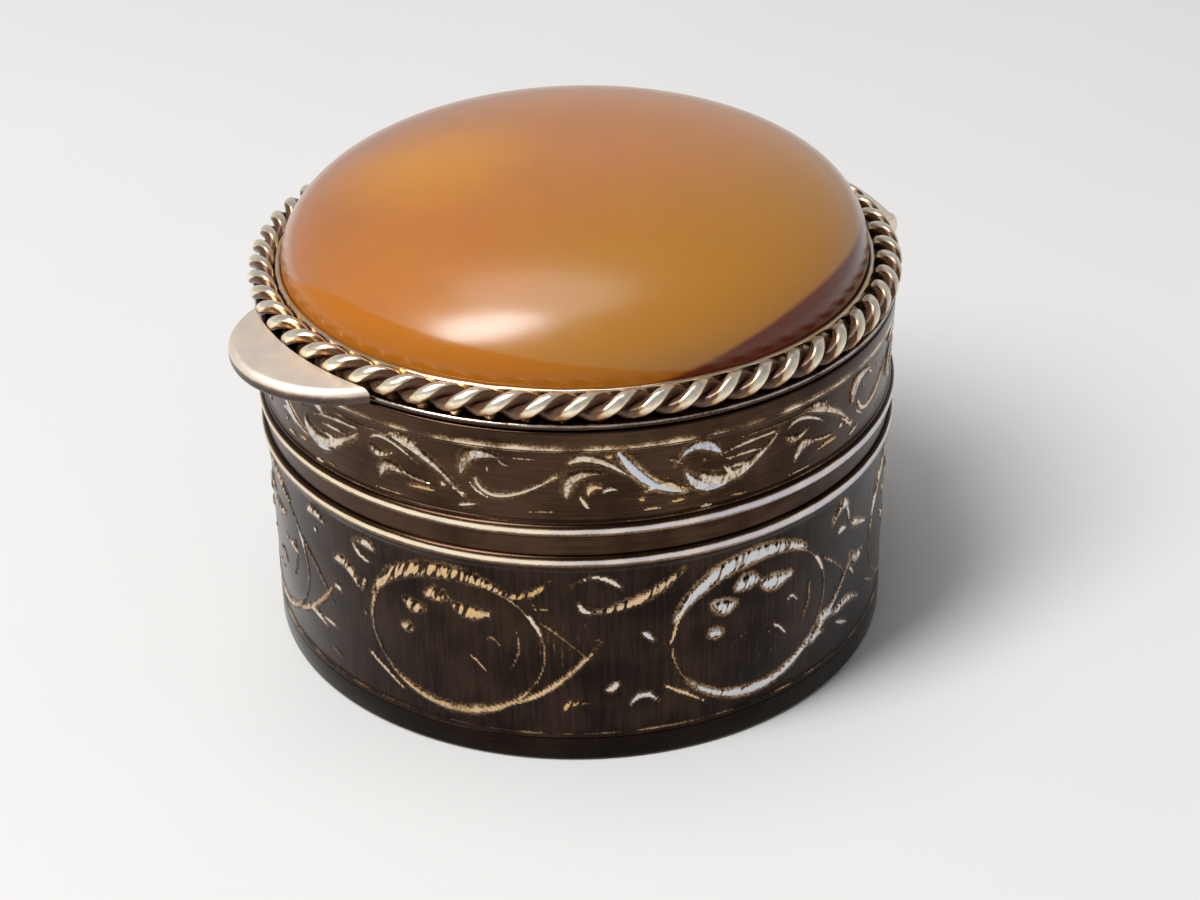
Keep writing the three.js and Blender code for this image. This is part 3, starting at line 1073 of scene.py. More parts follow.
class LowerOrnament:
    """Volutes of the lower band with a blossom in each, and leaves in the gaps between them."""

    # Azimuths of the volutes, how warm and bright each is, and azimuths of the gaps between them
    volutes = (-20.5, 31.3, 86.0, 137.0, 187.5, 238.0, 288.5)
    warmth = (0.75, 0.78, 0.12, 0.3, 0.6, 0.2, 0.7)
    brightness = (0.78, 0.7, 1.0, 0.85, 0.8, 0.95, 0.8)
    gap_middles = (7.0, 71.3, 111.0, 163.0, 213.0, 263.5, 315.0)
    centre_height = 7.75
    reach = (5.75, 4.78)
    blossom = (
        Stroke((-8.6, 10.0), (-7.0, 9.6), (-5.2, 9.75), 0.46, polish=1.0, hatch=0.9, blunt=0.4),
        Stroke((-4.1, 10.8), (-2.4, 11.2), (-0.8, 10.9), 0.5, polish=0.95, hatch=0.9, blunt=0.4),
        Stroke((0.9, 10.5), (3.4, 10.1), (6.8, 10.3), 0.48, 0.45, polish=0.95, hatch=1.0, blunt=0.4),
        Stroke((-1.0, 11.2), (0.4, 10.9), (1.4, 10.3), 0.09, polish=0.7),
        Stroke((-9.6, 8.0), (-8.6, 8.15), (-7.5, 7.9), 0.32, polish=1.0, hatch=0.7),
        Stroke((6.2, 8.3), (7.3, 9.1), (8.9, 8.1), 0.11, gold=0.8, polish=0.8),
        Stroke((2.0, 7.35), (4.2, 7.2), (6.3, 6.1), 0.1, 0.75, polish=0.95),
        Stroke((-6.4, 6.4), (-4.0, 7.4), (-1.2, 7.5), 0.06, polish=0.4),
        Stroke((-1.0, 5.6), (1.6, 5.0), (4.4, 5.7), 0.06, polish=0.3),
        dot(2.4, 6.8, 0.09, polish=0.5),
    )

    gap_leaf = (
        Stroke((-17.6, 11.35), (-17.0, 10.55), (-14.6, 10.75), 0.13, 0.4, polish=1.0, gold=0.2),
        Stroke((-16.2, 10.75), (-8.0, 10.8), (0.4, 13.1), 0.3, 0.55, polish=0.7, gold=0.75, hatch=1.0),
        Stroke((-19.4, 12.5), (-14.4, 13.9), (-10.6, 12.3), 0.11, 0.75, polish=0.95, gold=0.15),
        Stroke((-31.6, 11.9), (-26.0, 11.3), (-22.6, 12.9), 0.2, polish=0.7, gold=0.95, hatch=0.9),
        Stroke((-25.6, 11.4), (-25.0, 10.9), (-24.2, 10.4), 0.05, polish=0.7, gold=0.8),
        Stroke((-26.0, 10.75), (-24.0, 10.95), (-22.4, 10.9), 0.05, polish=0.6, gold=0.9),
        Stroke((-6.7, 9.05), (-6.0, 8.8), (-4.9, 8.35), 0.14, 0.4, polish=1.0, gold=0.1),
        Stroke((-15.4, 8.7), (-14.4, 8.9), (-13.6, 8.6), 0.11, polish=0.4, gold=0.8),
        Stroke((-13.6, 5.0), (-12.2, 5.1), (-11.1, 5.65), 0.19, 0.6, polish=0.85, gold=0.4),
        Stroke((-20.6, 3.6), (-19.6, 4.5), (-15.8, 4.2), 0.2, polish=0.65, gold=0.95, hatch=0.9),
        Stroke((-8.8, 4.0), (-6.8, 5.1), (-4.2, 4.0), 0.17, polish=0.95, gold=0.15, hatch=0.4),
        Stroke((-8.8, 4.2), (-9.4, 3.4), (-8.9, 2.7), 0.05, polish=0.6),
        *[
            Stroke(
                (-24.4 + 1.25 * i, 6.4 + 0.5 * (i % 3)), (-24.5 + 1.25 * i, 8.6),
                (-23.9 + 1.25 * i, 10.6 - 0.3 * (i % 2)), 0.06, form=Form.CUT, polish=0.34, gold=0.7,
            )
            for i in range(7)
        ],
    )
    gap_spray = (
        Stroke((-9.4, 12.6), (-7.0, 13.3), (-3.6, 12.6), 0.34, polish=0.65, hatch=0.4),
        dot(-6.8, 11.6, 0.14),
        Stroke((3.9, 12.6), (5.6, 11.5), (8.4, 11.7), 0.12, 0.4, polish=1.0),
        Stroke((4.6, 12.7), (7.4, 13.2), (9.6, 12.5), 0.32, 0.55, polish=0.65, hatch=0.3),
        Stroke((-1.4, 10.5), (2.4, 11.2), (5.4, 9.25), 0.34, 0.45, gold=0.5, polish=0.8, hatch=0.5),
        Stroke((5.6, 9.3), (6.4, 9.9), (6.8, 10.4), 0.12, gold=0.5),
        Stroke((-1.8, 8.35), (-0.8, 8.75), (0.0, 8.2), 0.17, polish=0.95),
        dot(6.3, 7.75, 0.12, polish=0.5, gold=0.8),
        Stroke((-19.0, 8.5), (-17.0, 8.9), (-14.4, 8.4), 0.24, 0.6, polish=0.75, hatch=0.4),
        Stroke((-12.6, 5.05), (-8.6, 5.4), (-5.6, 4.75), 0.2, 0.45, hatch=0.4),
        Stroke((-6.4, 5.15), (-4.4, 5.35), (-2.0, 5.15), 0.13, polish=0.9),
        Stroke((-4.6, 3.5), (-2.8, 3.45), (-1.0, 3.05), 0.08, polish=0.5, gold=0.7),
    )
    gap_twigs = (
        Stroke((-6.6, 11.9), (-4.4, 13.3), (-1.4, 12.4), 0.34, 0.55, polish=0.95, gold=0.2, hatch=0.8),
        Stroke((-3.2, 13.2), (-2.0, 12.5), (-0.8, 11.2), 0.13, polish=0.9),
        Stroke((-4.6, 10.95), (-3.4, 11.05), (-2.2, 10.9), 0.17, polish=1.0, gold=0.2),
        Stroke((0.2, 10.9), (2.6, 10.2), (6.6, 9.8), 0.24, 0.35, polish=0.9, hatch=0.6),
        Stroke((0.4, 8.6), (1.8, 7.2), (5.4, 8.0), 0.38, polish=0.9, hatch=0.7, gold=0.25),
        Stroke((0.0, 7.5), (1.2, 7.2), (2.2, 6.6), 0.12),
        Stroke((-9.6, 5.3), (-7.8, 5.7), (-5.2, 5.1), 0.3, 0.4, polish=1.0, gold=0.15, hatch=0.8),
        Stroke((-11.6, 4.1), (-10.6, 4.7), (-8.4, 4.35), 0.24, 0.4, polish=1.0, gold=0.15, hatch=0.5),
        Stroke((-4.2, 5.0), (-0.4, 5.6), (5.2, 4.35), 0.28, 0.3, gold=0.2, polish=0.95, hatch=0.8),
        Stroke((-4.4, 4.3), (-2.4, 3.9), (0.2, 3.4), 0.15, 0.6, polish=0.8),
    )

    @classmethod
    def volute(cls, place: int) -> list[Stroke]:
        """One volute: its ring, the ruffled leaf over it, its lower blade and the blossom inside.

        Args:
            place: which volute it is, counted round the wall.

        Returns:
            Its strokes.
        """
        azimuth, warm, bright = cls.volutes[place], cls.warmth[place], cls.brightness[place]
        centre, reach = (azimuth, cls.centre_height), cls.reach
        outer = (reach[0] + 0.2, reach[1] + 0.2)
        fine = max(0.0, 1.8 * (bright - 0.7))
        ring = [
            Sweep(centre, reach, (0.0, 360.0), 0.075, polish=0.5, gold=0.55, blunt=1.0),
            Sweep(centre, outer, (160.0, 50.0), 0.5, polish=bright, gold=warm, hatch=0.85),
            Sweep(centre, reach, (150.0, 70.0), 0.09, polish=bright, gold=warm),
            Sweep(centre, reach, (186.0, 150.0), 0.14, polish=0.5, gold=0.9, hatch=0.6),
            Sweep(centre, reach, (36.0, 14.0), 0.12, 0.4, polish=0.95),
            Sweep(centre, reach, (214.0, 326.0), 0.3, 0.55, polish=0.95 * bright, gold=warm, hatch=fine),
        ]
        beside = [
            Stroke((10.5, 3.95), (18.5, 5.0), (26.0, 8.6), 0.2, 0.4, polish=0.7, gold=warm),
            Stroke((11.2, 9.7), (13.6, 7.9), (9.6, 6.1), 0.09, 0.6, polish=0.5, gold=0.7),
            Stroke((15.4, 10.1), (20.0, 9.0), (25.5, 6.7), 0.1, 0.3, polish=0.5, gold=warm),
            Stroke((-18.0, 5.0), (-14.0, 4.2), (-10.0, 3.1), 0.12, 0.4, polish=0.8, gold=0.75),
        ]
        inside = [replace(stroke, gold=warm, polish=stroke.polish * bright) for stroke in cls.blossom]
        return ring + [stroke.moved(azimuth) for stroke in beside + inside]

    @classmethod
    def strokes(cls) -> list[Stroke]:
        """The whole band: volutes round the wall with the three kinds of gap between them.

        Returns:
            All its strokes.
        """
        made = [stroke for place in range(len(cls.volutes)) for stroke in cls.volute(place)]
        gaps = (cls.gap_spray, cls.gap_leaf, cls.gap_twigs)
        for place, middle in enumerate(cls.gap_middles):
            made += [stroke.moved(middle) for stroke in gaps[place % len(gaps)]]
        return made


def round_offset(around: np.ndarray, middle: float) -> np.ndarray:
    """How far each place lies from a middle round the wall, by the shorter way, in millimetres."""
    return (around - middle + WALL_ROUND_MM / 2) % WALL_ROUND_MM - WALL_ROUND_MM / 2


class Relief:
    """What a band's strokes leave at each place of its skin."""

    halo_mm = 0.3
    full_width_mm = 0.22

    def __init__(self, around: np.ndarray, level: np.ndarray) -> None:
        """Starts with no stroke.

        Args:
            around: distance of each place round the wall, in millimetres.
            level: its height in millimetres.
        """
        self.around, self.level = around, level
        self.raised, self.cut, self.halo = (np.zeros_like(around) for _ in range(3))
        self.polish, self.gold, self.hatch = (np.zeros_like(around) for _ in range(3))

    def add(self, stroke: Stroke) -> None:
        """Adds one stroke to the places that it reaches.

        Args:
            stroke: the stroke.
        """
        run, heights, widths = stroke.run()
        middle = (run.min() + run.max()) / 2
        offset = round_offset(self.around, middle)
        margin = widths.max() + 2 * self.halo_mm
        near = np.abs(offset) < (run.max() - run.min()) / 2 + margin
        near &= (self.level > heights.min() - margin) & (self.level < heights.max() + margin)
        if not near.any():
            return
        across = offset[near][:, None] + middle - run[None, :]
        gap = np.hypot(across, self.level[near][:, None] - heights[None, :])
        depth = np.clip((1.0 - gap / widths[None, :]).max(axis=1), 0.0, 1.0)
        beside = np.maximum((gap - widths[None, :]).min(axis=1), 0.0)
        self._raise("halo", near, bell(beside, 0.0, self.halo_mm) * stroke.halo)
        share = np.minimum(1.0, stroke.half_width / self.full_width_mm)
        if stroke.form is Form.RAISED:
            self._raise("raised", near, np.sqrt(1 - (1 - depth) ** 2) * share**0.6)
        else:
            self._raise("cut", near, depth * share)
        bright = smoothstep(0.0, stroke.crest, depth) * stroke.polish
        self.gold[near] = np.where(bright > self.polish[near], stroke.gold, self.gold[near])
        self._raise("polish", near, bright)
        self._raise("hatch", near, stroke.hatch * smoothstep(0.0, 0.3, depth))

    def _raise(self, name: str, near: np.ndarray, values: np.ndarray) -> None:
        """Raises one of the numbers at the near places to the given values where they are higher."""
        kept = getattr(self, name)
        kept[near] = np.maximum(kept[near], values)


@dataclass
class Field:
    """One engraved band as a ring of fine cells, sunk between its borders."""

    name: str
    low_mm: float
    high_mm: float
    columns: int
    rows: int
    low_border_mm: float
    high_border_mm: float
    sunk_mm: float = 0.13
    lift_mm: float = 0.13
    cut_mm: float = 0.07
    border_rise_mm: float = 0.16
    border_inset_mm: float = 0.03
    border_line_mm: float = 0.045
    tool_line_mm: float = 0.05
    boss_mm: float = 0.07
    back_mm: float = 19.3
    tool_lines_mm: Sequence[float] = ()
    bosses: Sequence[tuple[float, float, Point]] = ()

    def skin(self) -> bpy.types.Object:
        """Makes the band's ring: a fine outside and a plain back.

        Returns:
            The ring.
        """
        deselect_all()
        height = (self.high_mm - self.low_mm) * MM
        bpy.ops.mesh.primitive_cylinder_add(
            vertices=self.columns, radius=BoxSizes.radius, depth=height, end_fill_type="NOTHING"
        )
        piece = named(self.name)
        put(piece, (0, 0, (self.high_mm + self.low_mm) / 2 * MM))
        divide_along(piece, 2, height / 2, self.rows - 1)
        self._add_back(piece)
        clean(piece)
        return piece

    def _add_back(self, piece: bpy.types.Object) -> None:
        """Folds the upper and lower rims inwards and bridges them behind the skin.

        Args:
            piece: the skin.
        """
        back = self.back_mm * MM
        shrink = back / BoxSizes.radius

        def fold() -> None:
            """Takes the selected rim inwards."""
            bpy.ops.mesh.extrude_edges_move()
            bpy.ops.transform.resize(value=(shrink, shrink, 1.0), center_override=(0, 0, 0))

        for rim in (self.low_mm * MM, self.high_mm * MM):
            _, radius, height = polar(points_of(piece))
            select_points(piece, (np.abs(height - rim) < WELD * 100) & (radius > back * 1.01))
            in_edit_mode(piece, "EDGE", fold)
        _, radius, _ = polar(points_of(piece))
        select_points(piece, radius < back * 1.01)
        in_edit_mode(piece, "EDGE", bpy.ops.mesh.bridge_edge_loops)

    def engrave(self, piece: bpy.types.Object, strokes: Sequence[Stroke]) -> None:
        """Moves the skin's vertices into relief and keeps how polished each one is.

        Args:
            piece: the band's ring.
            strokes: all strokes of the band.
        """
        azimuth, radius, height = polar(points_of(piece))
        outside = radius > (self.back_mm + 0.1) * MM
        relief = Relief(np.degrees(azimuth[outside]) * MM_PER_DEGREE, height[outside] / MM)
        for stroke in strokes:
            relief.add(stroke)
        hand = waviness(azimuth[outside], relief.level, HAND_WAVES)
        radius[outside] = BoxSizes.radius + self._depth(relief, hand) * MM
        place_points(piece, from_polar(azimuth, radius, height))
        edge = self._edge(azimuth[outside], relief.level)
        shown = {
            POLISH: np.maximum(np.maximum(relief.polish, edge), relief.halo + 0.08 + 0.05 * hand),
            GOLD: np.where(edge > relief.polish, 0.75, relief.gold),
            HATCH: relief.hatch,
        }
        for name, values in shown.items():
            full = np.zeros(len(azimuth))
            full[outside] = values
            write_attribute(piece, name, full)

    def _depth(self, relief: Relief, hand: np.ndarray) -> np.ndarray:
        """Works out how far each place stands out from the round of the wall.

        Args:
            relief: what the strokes leave.
            hand: the waves of hand work.

        Returns:
            Millimetres outwards, below 0 where the field is sunk.
        """
        level, rise = relief.level, self.border_rise_mm
        border = 1 - smoothstep(self.low_border_mm, self.low_border_mm + rise, level)
        border += smoothstep(self.high_border_mm - rise, self.high_border_mm, level)
        sunk = self.sunk_mm * (1 - border) * (1 + 0.12 * hand)
        depth = -sunk + relief.raised * self.lift_mm * (1 - border) - relief.cut * self.cut_mm
        for azimuth, middle, (reach_round, reach_up) in self.bosses:
            across = round_offset(relief.around, azimuth * MM_PER_DEGREE) / reach_round
            away = np.hypot(across, (level - middle) / reach_up)
            depth += self.boss_mm * np.clip(1 - away**4, 0.0, 1.0)
        return depth

    def _edge(self, azimuth: np.ndarray, level: np.ndarray) -> np.ndarray:
        """Works out how far the borders and the tool's lines are rubbed, unevenly round the wall.

        Args:
            azimuth: azimuth of each place in radians.
            level: its height in millimetres.

        Returns:
            The rub at each place.
        """
        wear = waviness(azimuth, level, WEAR_WAVES)
        edge = bell(level - self.high_border_mm, -self.border_inset_mm, self.border_line_mm)
        edge += bell(level - self.low_border_mm, self.border_inset_mm, self.border_line_mm)
        edge *= 0.52 + 0.36 * wear
        for line in self.tool_lines_mm:
            edge = np.maximum(edge, bell(level, line, self.tool_line_mm) * (0.12 + 0.38 * wear))
        return edge


# Sub-assemblies


@dataclass
class Base:
    """Plain foot band and floor in one turning, with the spigot that centres the wall."""

    edge: float = 0.25 * MM
    floor: float = 0.9 * MM
    spigot_top: float = 2.6 * MM
    spigot_outer: float = 18.6 * MM
    spigot_wall: float = 0.8 * MM
    small_edge: float = 0.12 * MM

    def build(self) -> None:
        """Makes the base."""
        radius, edge, small = BoxSizes.radius, self.edge, self.small_edge
        inner = self.spigot_outer - self.spigot_wall
        profile = [
            (0.0, 0.0),
            *arc((radius - edge, edge), edge, -90, 0, 6),
            *arc((radius - small, BoxSizes.foot_top - small), small, 0, 90, 4),
            (self.spigot_outer, BoxSizes.foot_top),
            *arc((self.spigot_outer - small, self.spigot_top - small), small, 0, 90, 4),
            *arc((inner + small, self.spigot_top - small), small, 90, 180, 4),
            *arc((inner - 3 * small, self.floor + 3 * small), 3 * small, 0, -90, 6),
            (0.0, self.floor),
        ]
        piece = turned("base", profile)
        seen = Surface.of(piece)
        outside = seen.distance > BoxSizes.wall_inner
        foot = smoothstep(0.3, 0.0, seen.height / MM) * 0.25
        polish = np.where(outside, 0.08 + foot + 0.05 * seen.rub, 0.86 + 0.1 * seen.rub)
        keep_wear_and_sheen(piece, polish, np.where(outside, 0.35, 0.45))
        hand_in(piece, BODY, FOOT_SILVER, "base_plate")


@dataclass
class Wall:
    """Round wall with an engraved band below its two beads and another above them."""

    back: float = 19.25 * MM
    bead_proud: float = 0.25 * MM
    bead_root: float = 0.25 * MM
    bead_cover: float = 0.8
    rim_edge: float = 0.15 * MM
    rim_bottom: float = 22.3 * MM
    foot_gap: float = 0.01 * MM
    strip_sunk_mm: float = 0.04
    upper_low_mm: float = 16.9
    upper_high_mm: float = 21.72
    lower_low_mm: float = 1.72
    lower_high_mm: float = 13.9

    def build(self) -> None:
        """Makes the tube, both engraved bands and both beads."""
        self._tube()
        upper = Field(
            "engraved_upper_band", self.upper_low_mm, self.upper_high_mm, columns=1440, rows=60,
            low_border_mm=16.98, high_border_mm=21.66, tool_lines_mm=(17.3, 17.55, 20.95, 21.2, 21.42),
        )
        centre, reach = LowerOrnament.centre_height, LowerOrnament.reach
        lower = Field(
            "engraved_lower_band", self.lower_low_mm, self.lower_high_mm, columns=1080, rows=86,
            low_border_mm=1.95, high_border_mm=13.72,
            bosses=[(azimuth, centre, reach) for azimuth in LowerOrnament.volutes],
        )
        bands = (
            (upper, UpperOrnament.strokes(), WALL_SILVER),
            (lower, LowerOrnament.strokes(), BRUSHED_WALL_SILVER),
        )
        for band, strokes, finish in bands:
            piece = band.skin()
            band.engrave(piece, strokes)
            bpy.ops.object.shade_smooth_by_angle(angle=SKIN_SMOOTH_ANGLE)
            hand_in(piece, BODY, finish)
        self._beads()

    def _tube(self) -> None:
        """Makes the wall's inside, its rim, and the plain strips above and between the beads."""
        radius, inner, edge, top = BoxSizes.radius, BoxSizes.wall_inner, self.rim_edge, BoxSizes.wall_top
        sunk, bottom = self.strip_sunk_mm * MM, BoxSizes.foot_top + self.foot_gap
        strip_low = BoxSizes.low_bead + BoxSizes.bead_half * self.bead_cover
        strip_high = BoxSizes.high_bead - BoxSizes.bead_half * self.bead_cover
        profile = [
            (inner, bottom),
            (self.back, bottom),
            (self.back, strip_low),
            (radius - sunk, strip_low),
            (radius - sunk, strip_high),
            (self.back, strip_high),
            (self.back, self.upper_high_mm * MM),
            *arc((radius - sunk, (self.upper_high_mm + self.strip_sunk_mm) * MM), sunk, -90, 0, 3),
            (radius, self.rim_bottom),
            *arc((radius - edge, top - edge), edge, 0, 90, 5),
            *arc((inner + edge, top - edge), edge, 90, 180, 5),
        ]
        piece = turned("wall_tube", profile)
        seen = Surface.of(piece)
        outside = seen.distance > 0.5 * (radius + self.back)
        line = bell(seen.height / MM - self.upper_high_mm, self.strip_sunk_mm, 0.05) * (0.5 + 0.4 * seen.rub)
        polish = np.where(outside, 0.1 + line + 0.05 * seen.rub, 0.9)
        keep_wear_and_sheen(piece, polish, np.where(outside, 0.5, 0.4))
        hand_in(piece, BODY, WALL_SILVER, "body_wall")

    def _beads(self) -> None:
        """Makes one half-round bead and copies it to the other bead's height."""
        radius, half, centre = BoxSizes.radius, BoxSizes.bead_half, BoxSizes.low_bead
        turn = [math.pi * (i / 16 - 0.5) for i in range(17)]
        front = [(radius + self.bead_proud * math.cos(a), centre + half * math.sin(a)) for a in turn]
        tail = radius - self.bead_root
        low = turned("lower_bead_wire", [(tail, centre - half), *front, (tail, centre + half)])
        seen = Surface.of(low)
        up = (seen.height - centre) / half
        # Partly rubbed crest and partly painted highlight: a bright band a little above the bead's middle.
        crest = 0.72 * bell(up, 0.22, 0.27 + 0.07 * seen.rub)
        # Painted sheen: the bead's flanks are left brighter on the right of the view, between about azimuth
        # 50 and 180 degrees.
        sheen_side = smoothstep(0.9, 1.9, seen.azimuth) * smoothstep(3.1, 2.1, seen.azimuth)
        flank = (0.4 + 0.28 * sheen_side) * np.exp(-((up / 0.78) ** 4))
        # The sine term is a painted reflection tint: the bare silver is warmer towards the left of the view
        # and cooler towards the right.
        gold = 0.32 + 0.2 * seen.rub + 0.3 * smoothstep(0.2, 0.7, up) - 0.4 * np.sin(seen.azimuth - 0.5)
        keep_wear_and_sheen(low, np.where(seen.distance < radius, 0.0, crest + flank), gold)
        high = copied(low, "upper_bead_wire", (0, 0, BoxSizes.high_bead - centre))
        hand_in(low, BODY, TRIM_SILVER, "lower_bead")
        hand_in(high, BODY, TRIM_SILVER, "upper_bead")


@dataclass
class StoneSetting:
    """The lid's plate with the agate, its bedding, its collar and the twisted wire border."""

    stone_radius = 18.22 * MM
    girdle_bottom = 23.72 * MM
    girdle_top = 24.6 * MM
    dome = 6.8 * MM

    stone_edge: float = 0.3 * MM
    fullness: float = 2.39
    fullness_swing: float = 0.226
    fuller_azimuth: float = -171.0
    plate_radius: float = 20.03 * MM
    ring_inner: float = 17.7 * MM
    ring_outer: float = 18.4 * MM
    ring_bottom: float = 21.6 * MM
    collar_inner: float = 18.25 * MM
    collar_outer: float = 18.58 * MM
    collar_top: float = 24.8 * MM
    wire_radius: float = 0.424 * MM
    wire_offset: float = 0.431 * MM
    rope_ring: float = 19.47 * MM
    rope_height: float = 24.29 * MM
    rope_turns: int = 29
    steps_per_turn: int = 28

    def build(self) -> None:
        """Makes every piece of the setting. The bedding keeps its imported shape."""
        self._plate()
        self._snap_ring()
        self._collar()
        self._stone()
        self._rope()
        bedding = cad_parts["stone_bedding"]
        dress(bedding, CEMENT)
        log.info("%s: kept as packed on %s", bedding.name, LID)

    def _plate(self) -> None:
        """Makes the lid's plate with its rounded edge, bright along its upper part, partly as wear and partly
        as a painted highlight, and painted lighter under the rope.
        """
        half = (BoxSizes.plate_top - BoxSizes.plate_bottom) / 2
        middle = BoxSizes.plate_bottom + half
        rim_arc = arc((self.plate_radius - half, middle), half, -90, 90, 10)
        piece = turned("lid_disc", [(0.0, BoxSizes.plate_bottom), *rim_arc, (0.0, BoxSizes.plate_top)])
        seen = Surface.of(piece)
        rim = smoothstep(19.86, 19.92, seen.distance / MM)
        under = seen.height < BoxSizes.plate_bottom + 0.01 * MM
        # Painted highlight, partly wear: only the upper part of the rounded edge is left bare and bright,
        # where light from above catches it.
        line = bell((seen.height - middle) / half, 0.55, 0.3) * (0.9 + 0.3 * seen.rub)
        # Painted light: the plate's top is left half bare under the rope, so the gaps between the strands
        # read lighter instead of dark with shade.
        lightened_under_rope = 0.45 * smoothstep(18.5, 18.7, seen.distance / MM)
        polish = np.where(under, 0.92, lightened_under_rope) * (1 - rim) + rim * line
        keep_wear_and_sheen(piece, polish, 0.22 + 0.1 * seen.rub)
        hand_in(piece, LID, WALL_SILVER, "lid_plate")

    def _snap_ring(self) -> None:
        """Makes the ring under the plate that enters the body."""
        half = (self.ring_outer - self.ring_inner) / 2
        profile = [
            (self.ring_inner, BoxSizes.plate_bottom),
            *arc((self.ring_inner + half, self.ring_bottom + half), half, 180, 360, 10),
            (self.ring_outer, BoxSizes.plate_bottom),
        ]
        piece = turned("snap_ring", profile)
        keep_wear_and_sheen(piece, 0.85, 0.35)
        hand_in(piece, LID, INSIDE_SILVER, "lid_snap_ring")

    def _collar(self) -> None:
        """Makes the thin collar with its lip closed in on the stone by hand."""
        lip = (self.collar_outer - self.collar_inner) / 2
        profile = [
            (self.collar_inner, BoxSizes.plate_top),
            (self.collar_outer, BoxSizes.plate_top),
            *arc((self.collar_outer - lip, self.collar_top - lip), lip, 0, 180, 10),
        ]
        piece = turned("collar", profile)
        seen = Surface.of(piece)
        top = smoothstep(24.4, 24.75, seen.height / MM)
        uneven = seen.height + 0.035 * MM * seen.rub * top
        place_points(piece, from_polar(seen.azimuth, seen.distance, uneven))
        keep_wear_and_sheen(piece, 0.1 + 0.85 * top, 0.5 + 0.4 * seen.rub)
        hand_in(piece, LID, TRIM_SILVER, "stone_collar")

    def _stone(self) -> None:
        """Makes the cabochon, a little fuller towards the hinge than towards the thumbpiece."""
        turn = [math.pi / 2 * i / 72 for i in range(72)]
        power = 2 / self.fullness
        crown = [
            (self.stone_radius * math.cos(a) ** power, self.girdle_top + self.dome * math.sin(a) ** power)
            for a in turn
        ]
        profile = [
            (0.0, self.girdle_bottom),
            (self.stone_radius - self.stone_edge, self.girdle_bottom),
            (self.stone_radius, self.girdle_bottom + self.stone_edge),
            *crown,
            (0.0, self.girdle_top + self.dome),
        ]
        piece = turned("agate_dome", profile, 240)
        azimuth, distance, height = polar(points_of(piece))
        up = np.clip((height - self.girdle_top) / self.dome, 0.0, 1.0)
        full = self.fullness + self.fullness_swing * np.cos(azimuth - math.radians(self.fuller_azimuth))
        crown_radius = self.stone_radius * (1 - up**full) ** (1 / full)
        distance = np.where(up > 0, crown_radius, distance)
        place_points(piece, from_polar(azimuth, distance, height))
        hand_in(piece, LID, AGATE, "agate_cabochon")

    def _rope(self) -> None:
        """Makes one wire of the border, hammered a little flat outside, and copies it for the other.

        The copy is turned by half the way from one twist to the next, so the two wires lie
        opposite each other all the way round.
        """
        count = self.rope_turns * self.steps_per_turn
        angle = np.arange(count) * (FULL_TURN / count)
        radius = self.rope_ring + self.wire_offset * np.cos(self.rope_turns * angle)
        height = self.rope_height + self.wire_offset * np.sin(self.rope_turns * angle)
        line = np.stack([radius * np.cos(angle), radius * np.sin(angle), height, np.ones(count)], axis=-1)
        curve = bpy.data.curves.new("rope_strand_1", "CURVE")
        curve.dimensions, curve.bevel_depth, curve.bevel_resolution = "3D", self.wire_radius, 7
        spline = curve.splines.new("POLY")
        spline.points.add(count - 1)
        spline.points.foreach_set("co", line.ravel())
        spline.use_cyclic_u = True
        wire = bpy.data.objects.new(curve.name, curve)
        bpy.context.scene.collection.objects.link(wire)
        activate(wire)
        bpy.ops.object.convert(target="MESH")
        first = named("rope_strand_1")
        clean(first)
        second = copied(first, "rope_strand_2", turn=math.pi / self.rope_turns)
        for number, piece in enumerate((first, second), 1):
            self._hammer(piece)
            hand_in(piece, LID, WIRE_SILVER, f"rope_wire_{number}")

    def _hammer(self, piece: bpy.types.Object) -> None:
        """Flattens the rope's crown with small dents and rubs it, leaving its hollows dark with patina. Its
        bright upper side, its darker and more golden underside and flanks, and part of its brightness near
        the thumbpiece are painted light.

        Args:
            piece: one wire.
        """
        azimuth, distance, height = polar(points_of(piece))
        out, up = (distance - self.rope_ring) / MM, (height - self.rope_height) / MM
        reach = np.hypot(out, up)
        dents = waviness(azimuth, height / MM, DENT_WAVES)
        limit = 0.81 + 0.03 * dents
        squeeze = np.where(reach > limit, limit + (reach - limit) * 0.3, reach) / np.maximum(reach, 1e-6)
        flat_out, flat_up = self.rope_ring + out * squeeze * MM, self.rope_height + up * squeeze * MM
        place_points(piece, from_polar(azimuth, flat_out, flat_up))
        crest = smoothstep(0.56, 0.85, reach)
        # Painted light: the strands are left bare and bright on their upper side, and darker and more golden
        # below and on their flanks, as light from above falls.
        upward = smoothstep(-0.6, 0.45, up)
        flank = 1 - smoothstep(0.6, 0.8, reach)
        # Painted highlight, partly handling wear: the rope is rubbed brighter round azimuth -4, by the
        # thumbpiece, where the key lamp lights it.
        handled_and_lit = 0.42 * bell(azimuth, math.radians(-4), math.radians(34))
        rubbed = np.maximum(crest * (0.42 + 0.63 * upward), handled_and_lit * (0.5 + 0.5 * upward))
        keep_wear_and_sheen(piece, rubbed + 0.12 * dents, 0.3 + 0.5 * (1 - upward) + 0.2 * dents + 0.55 * flank)


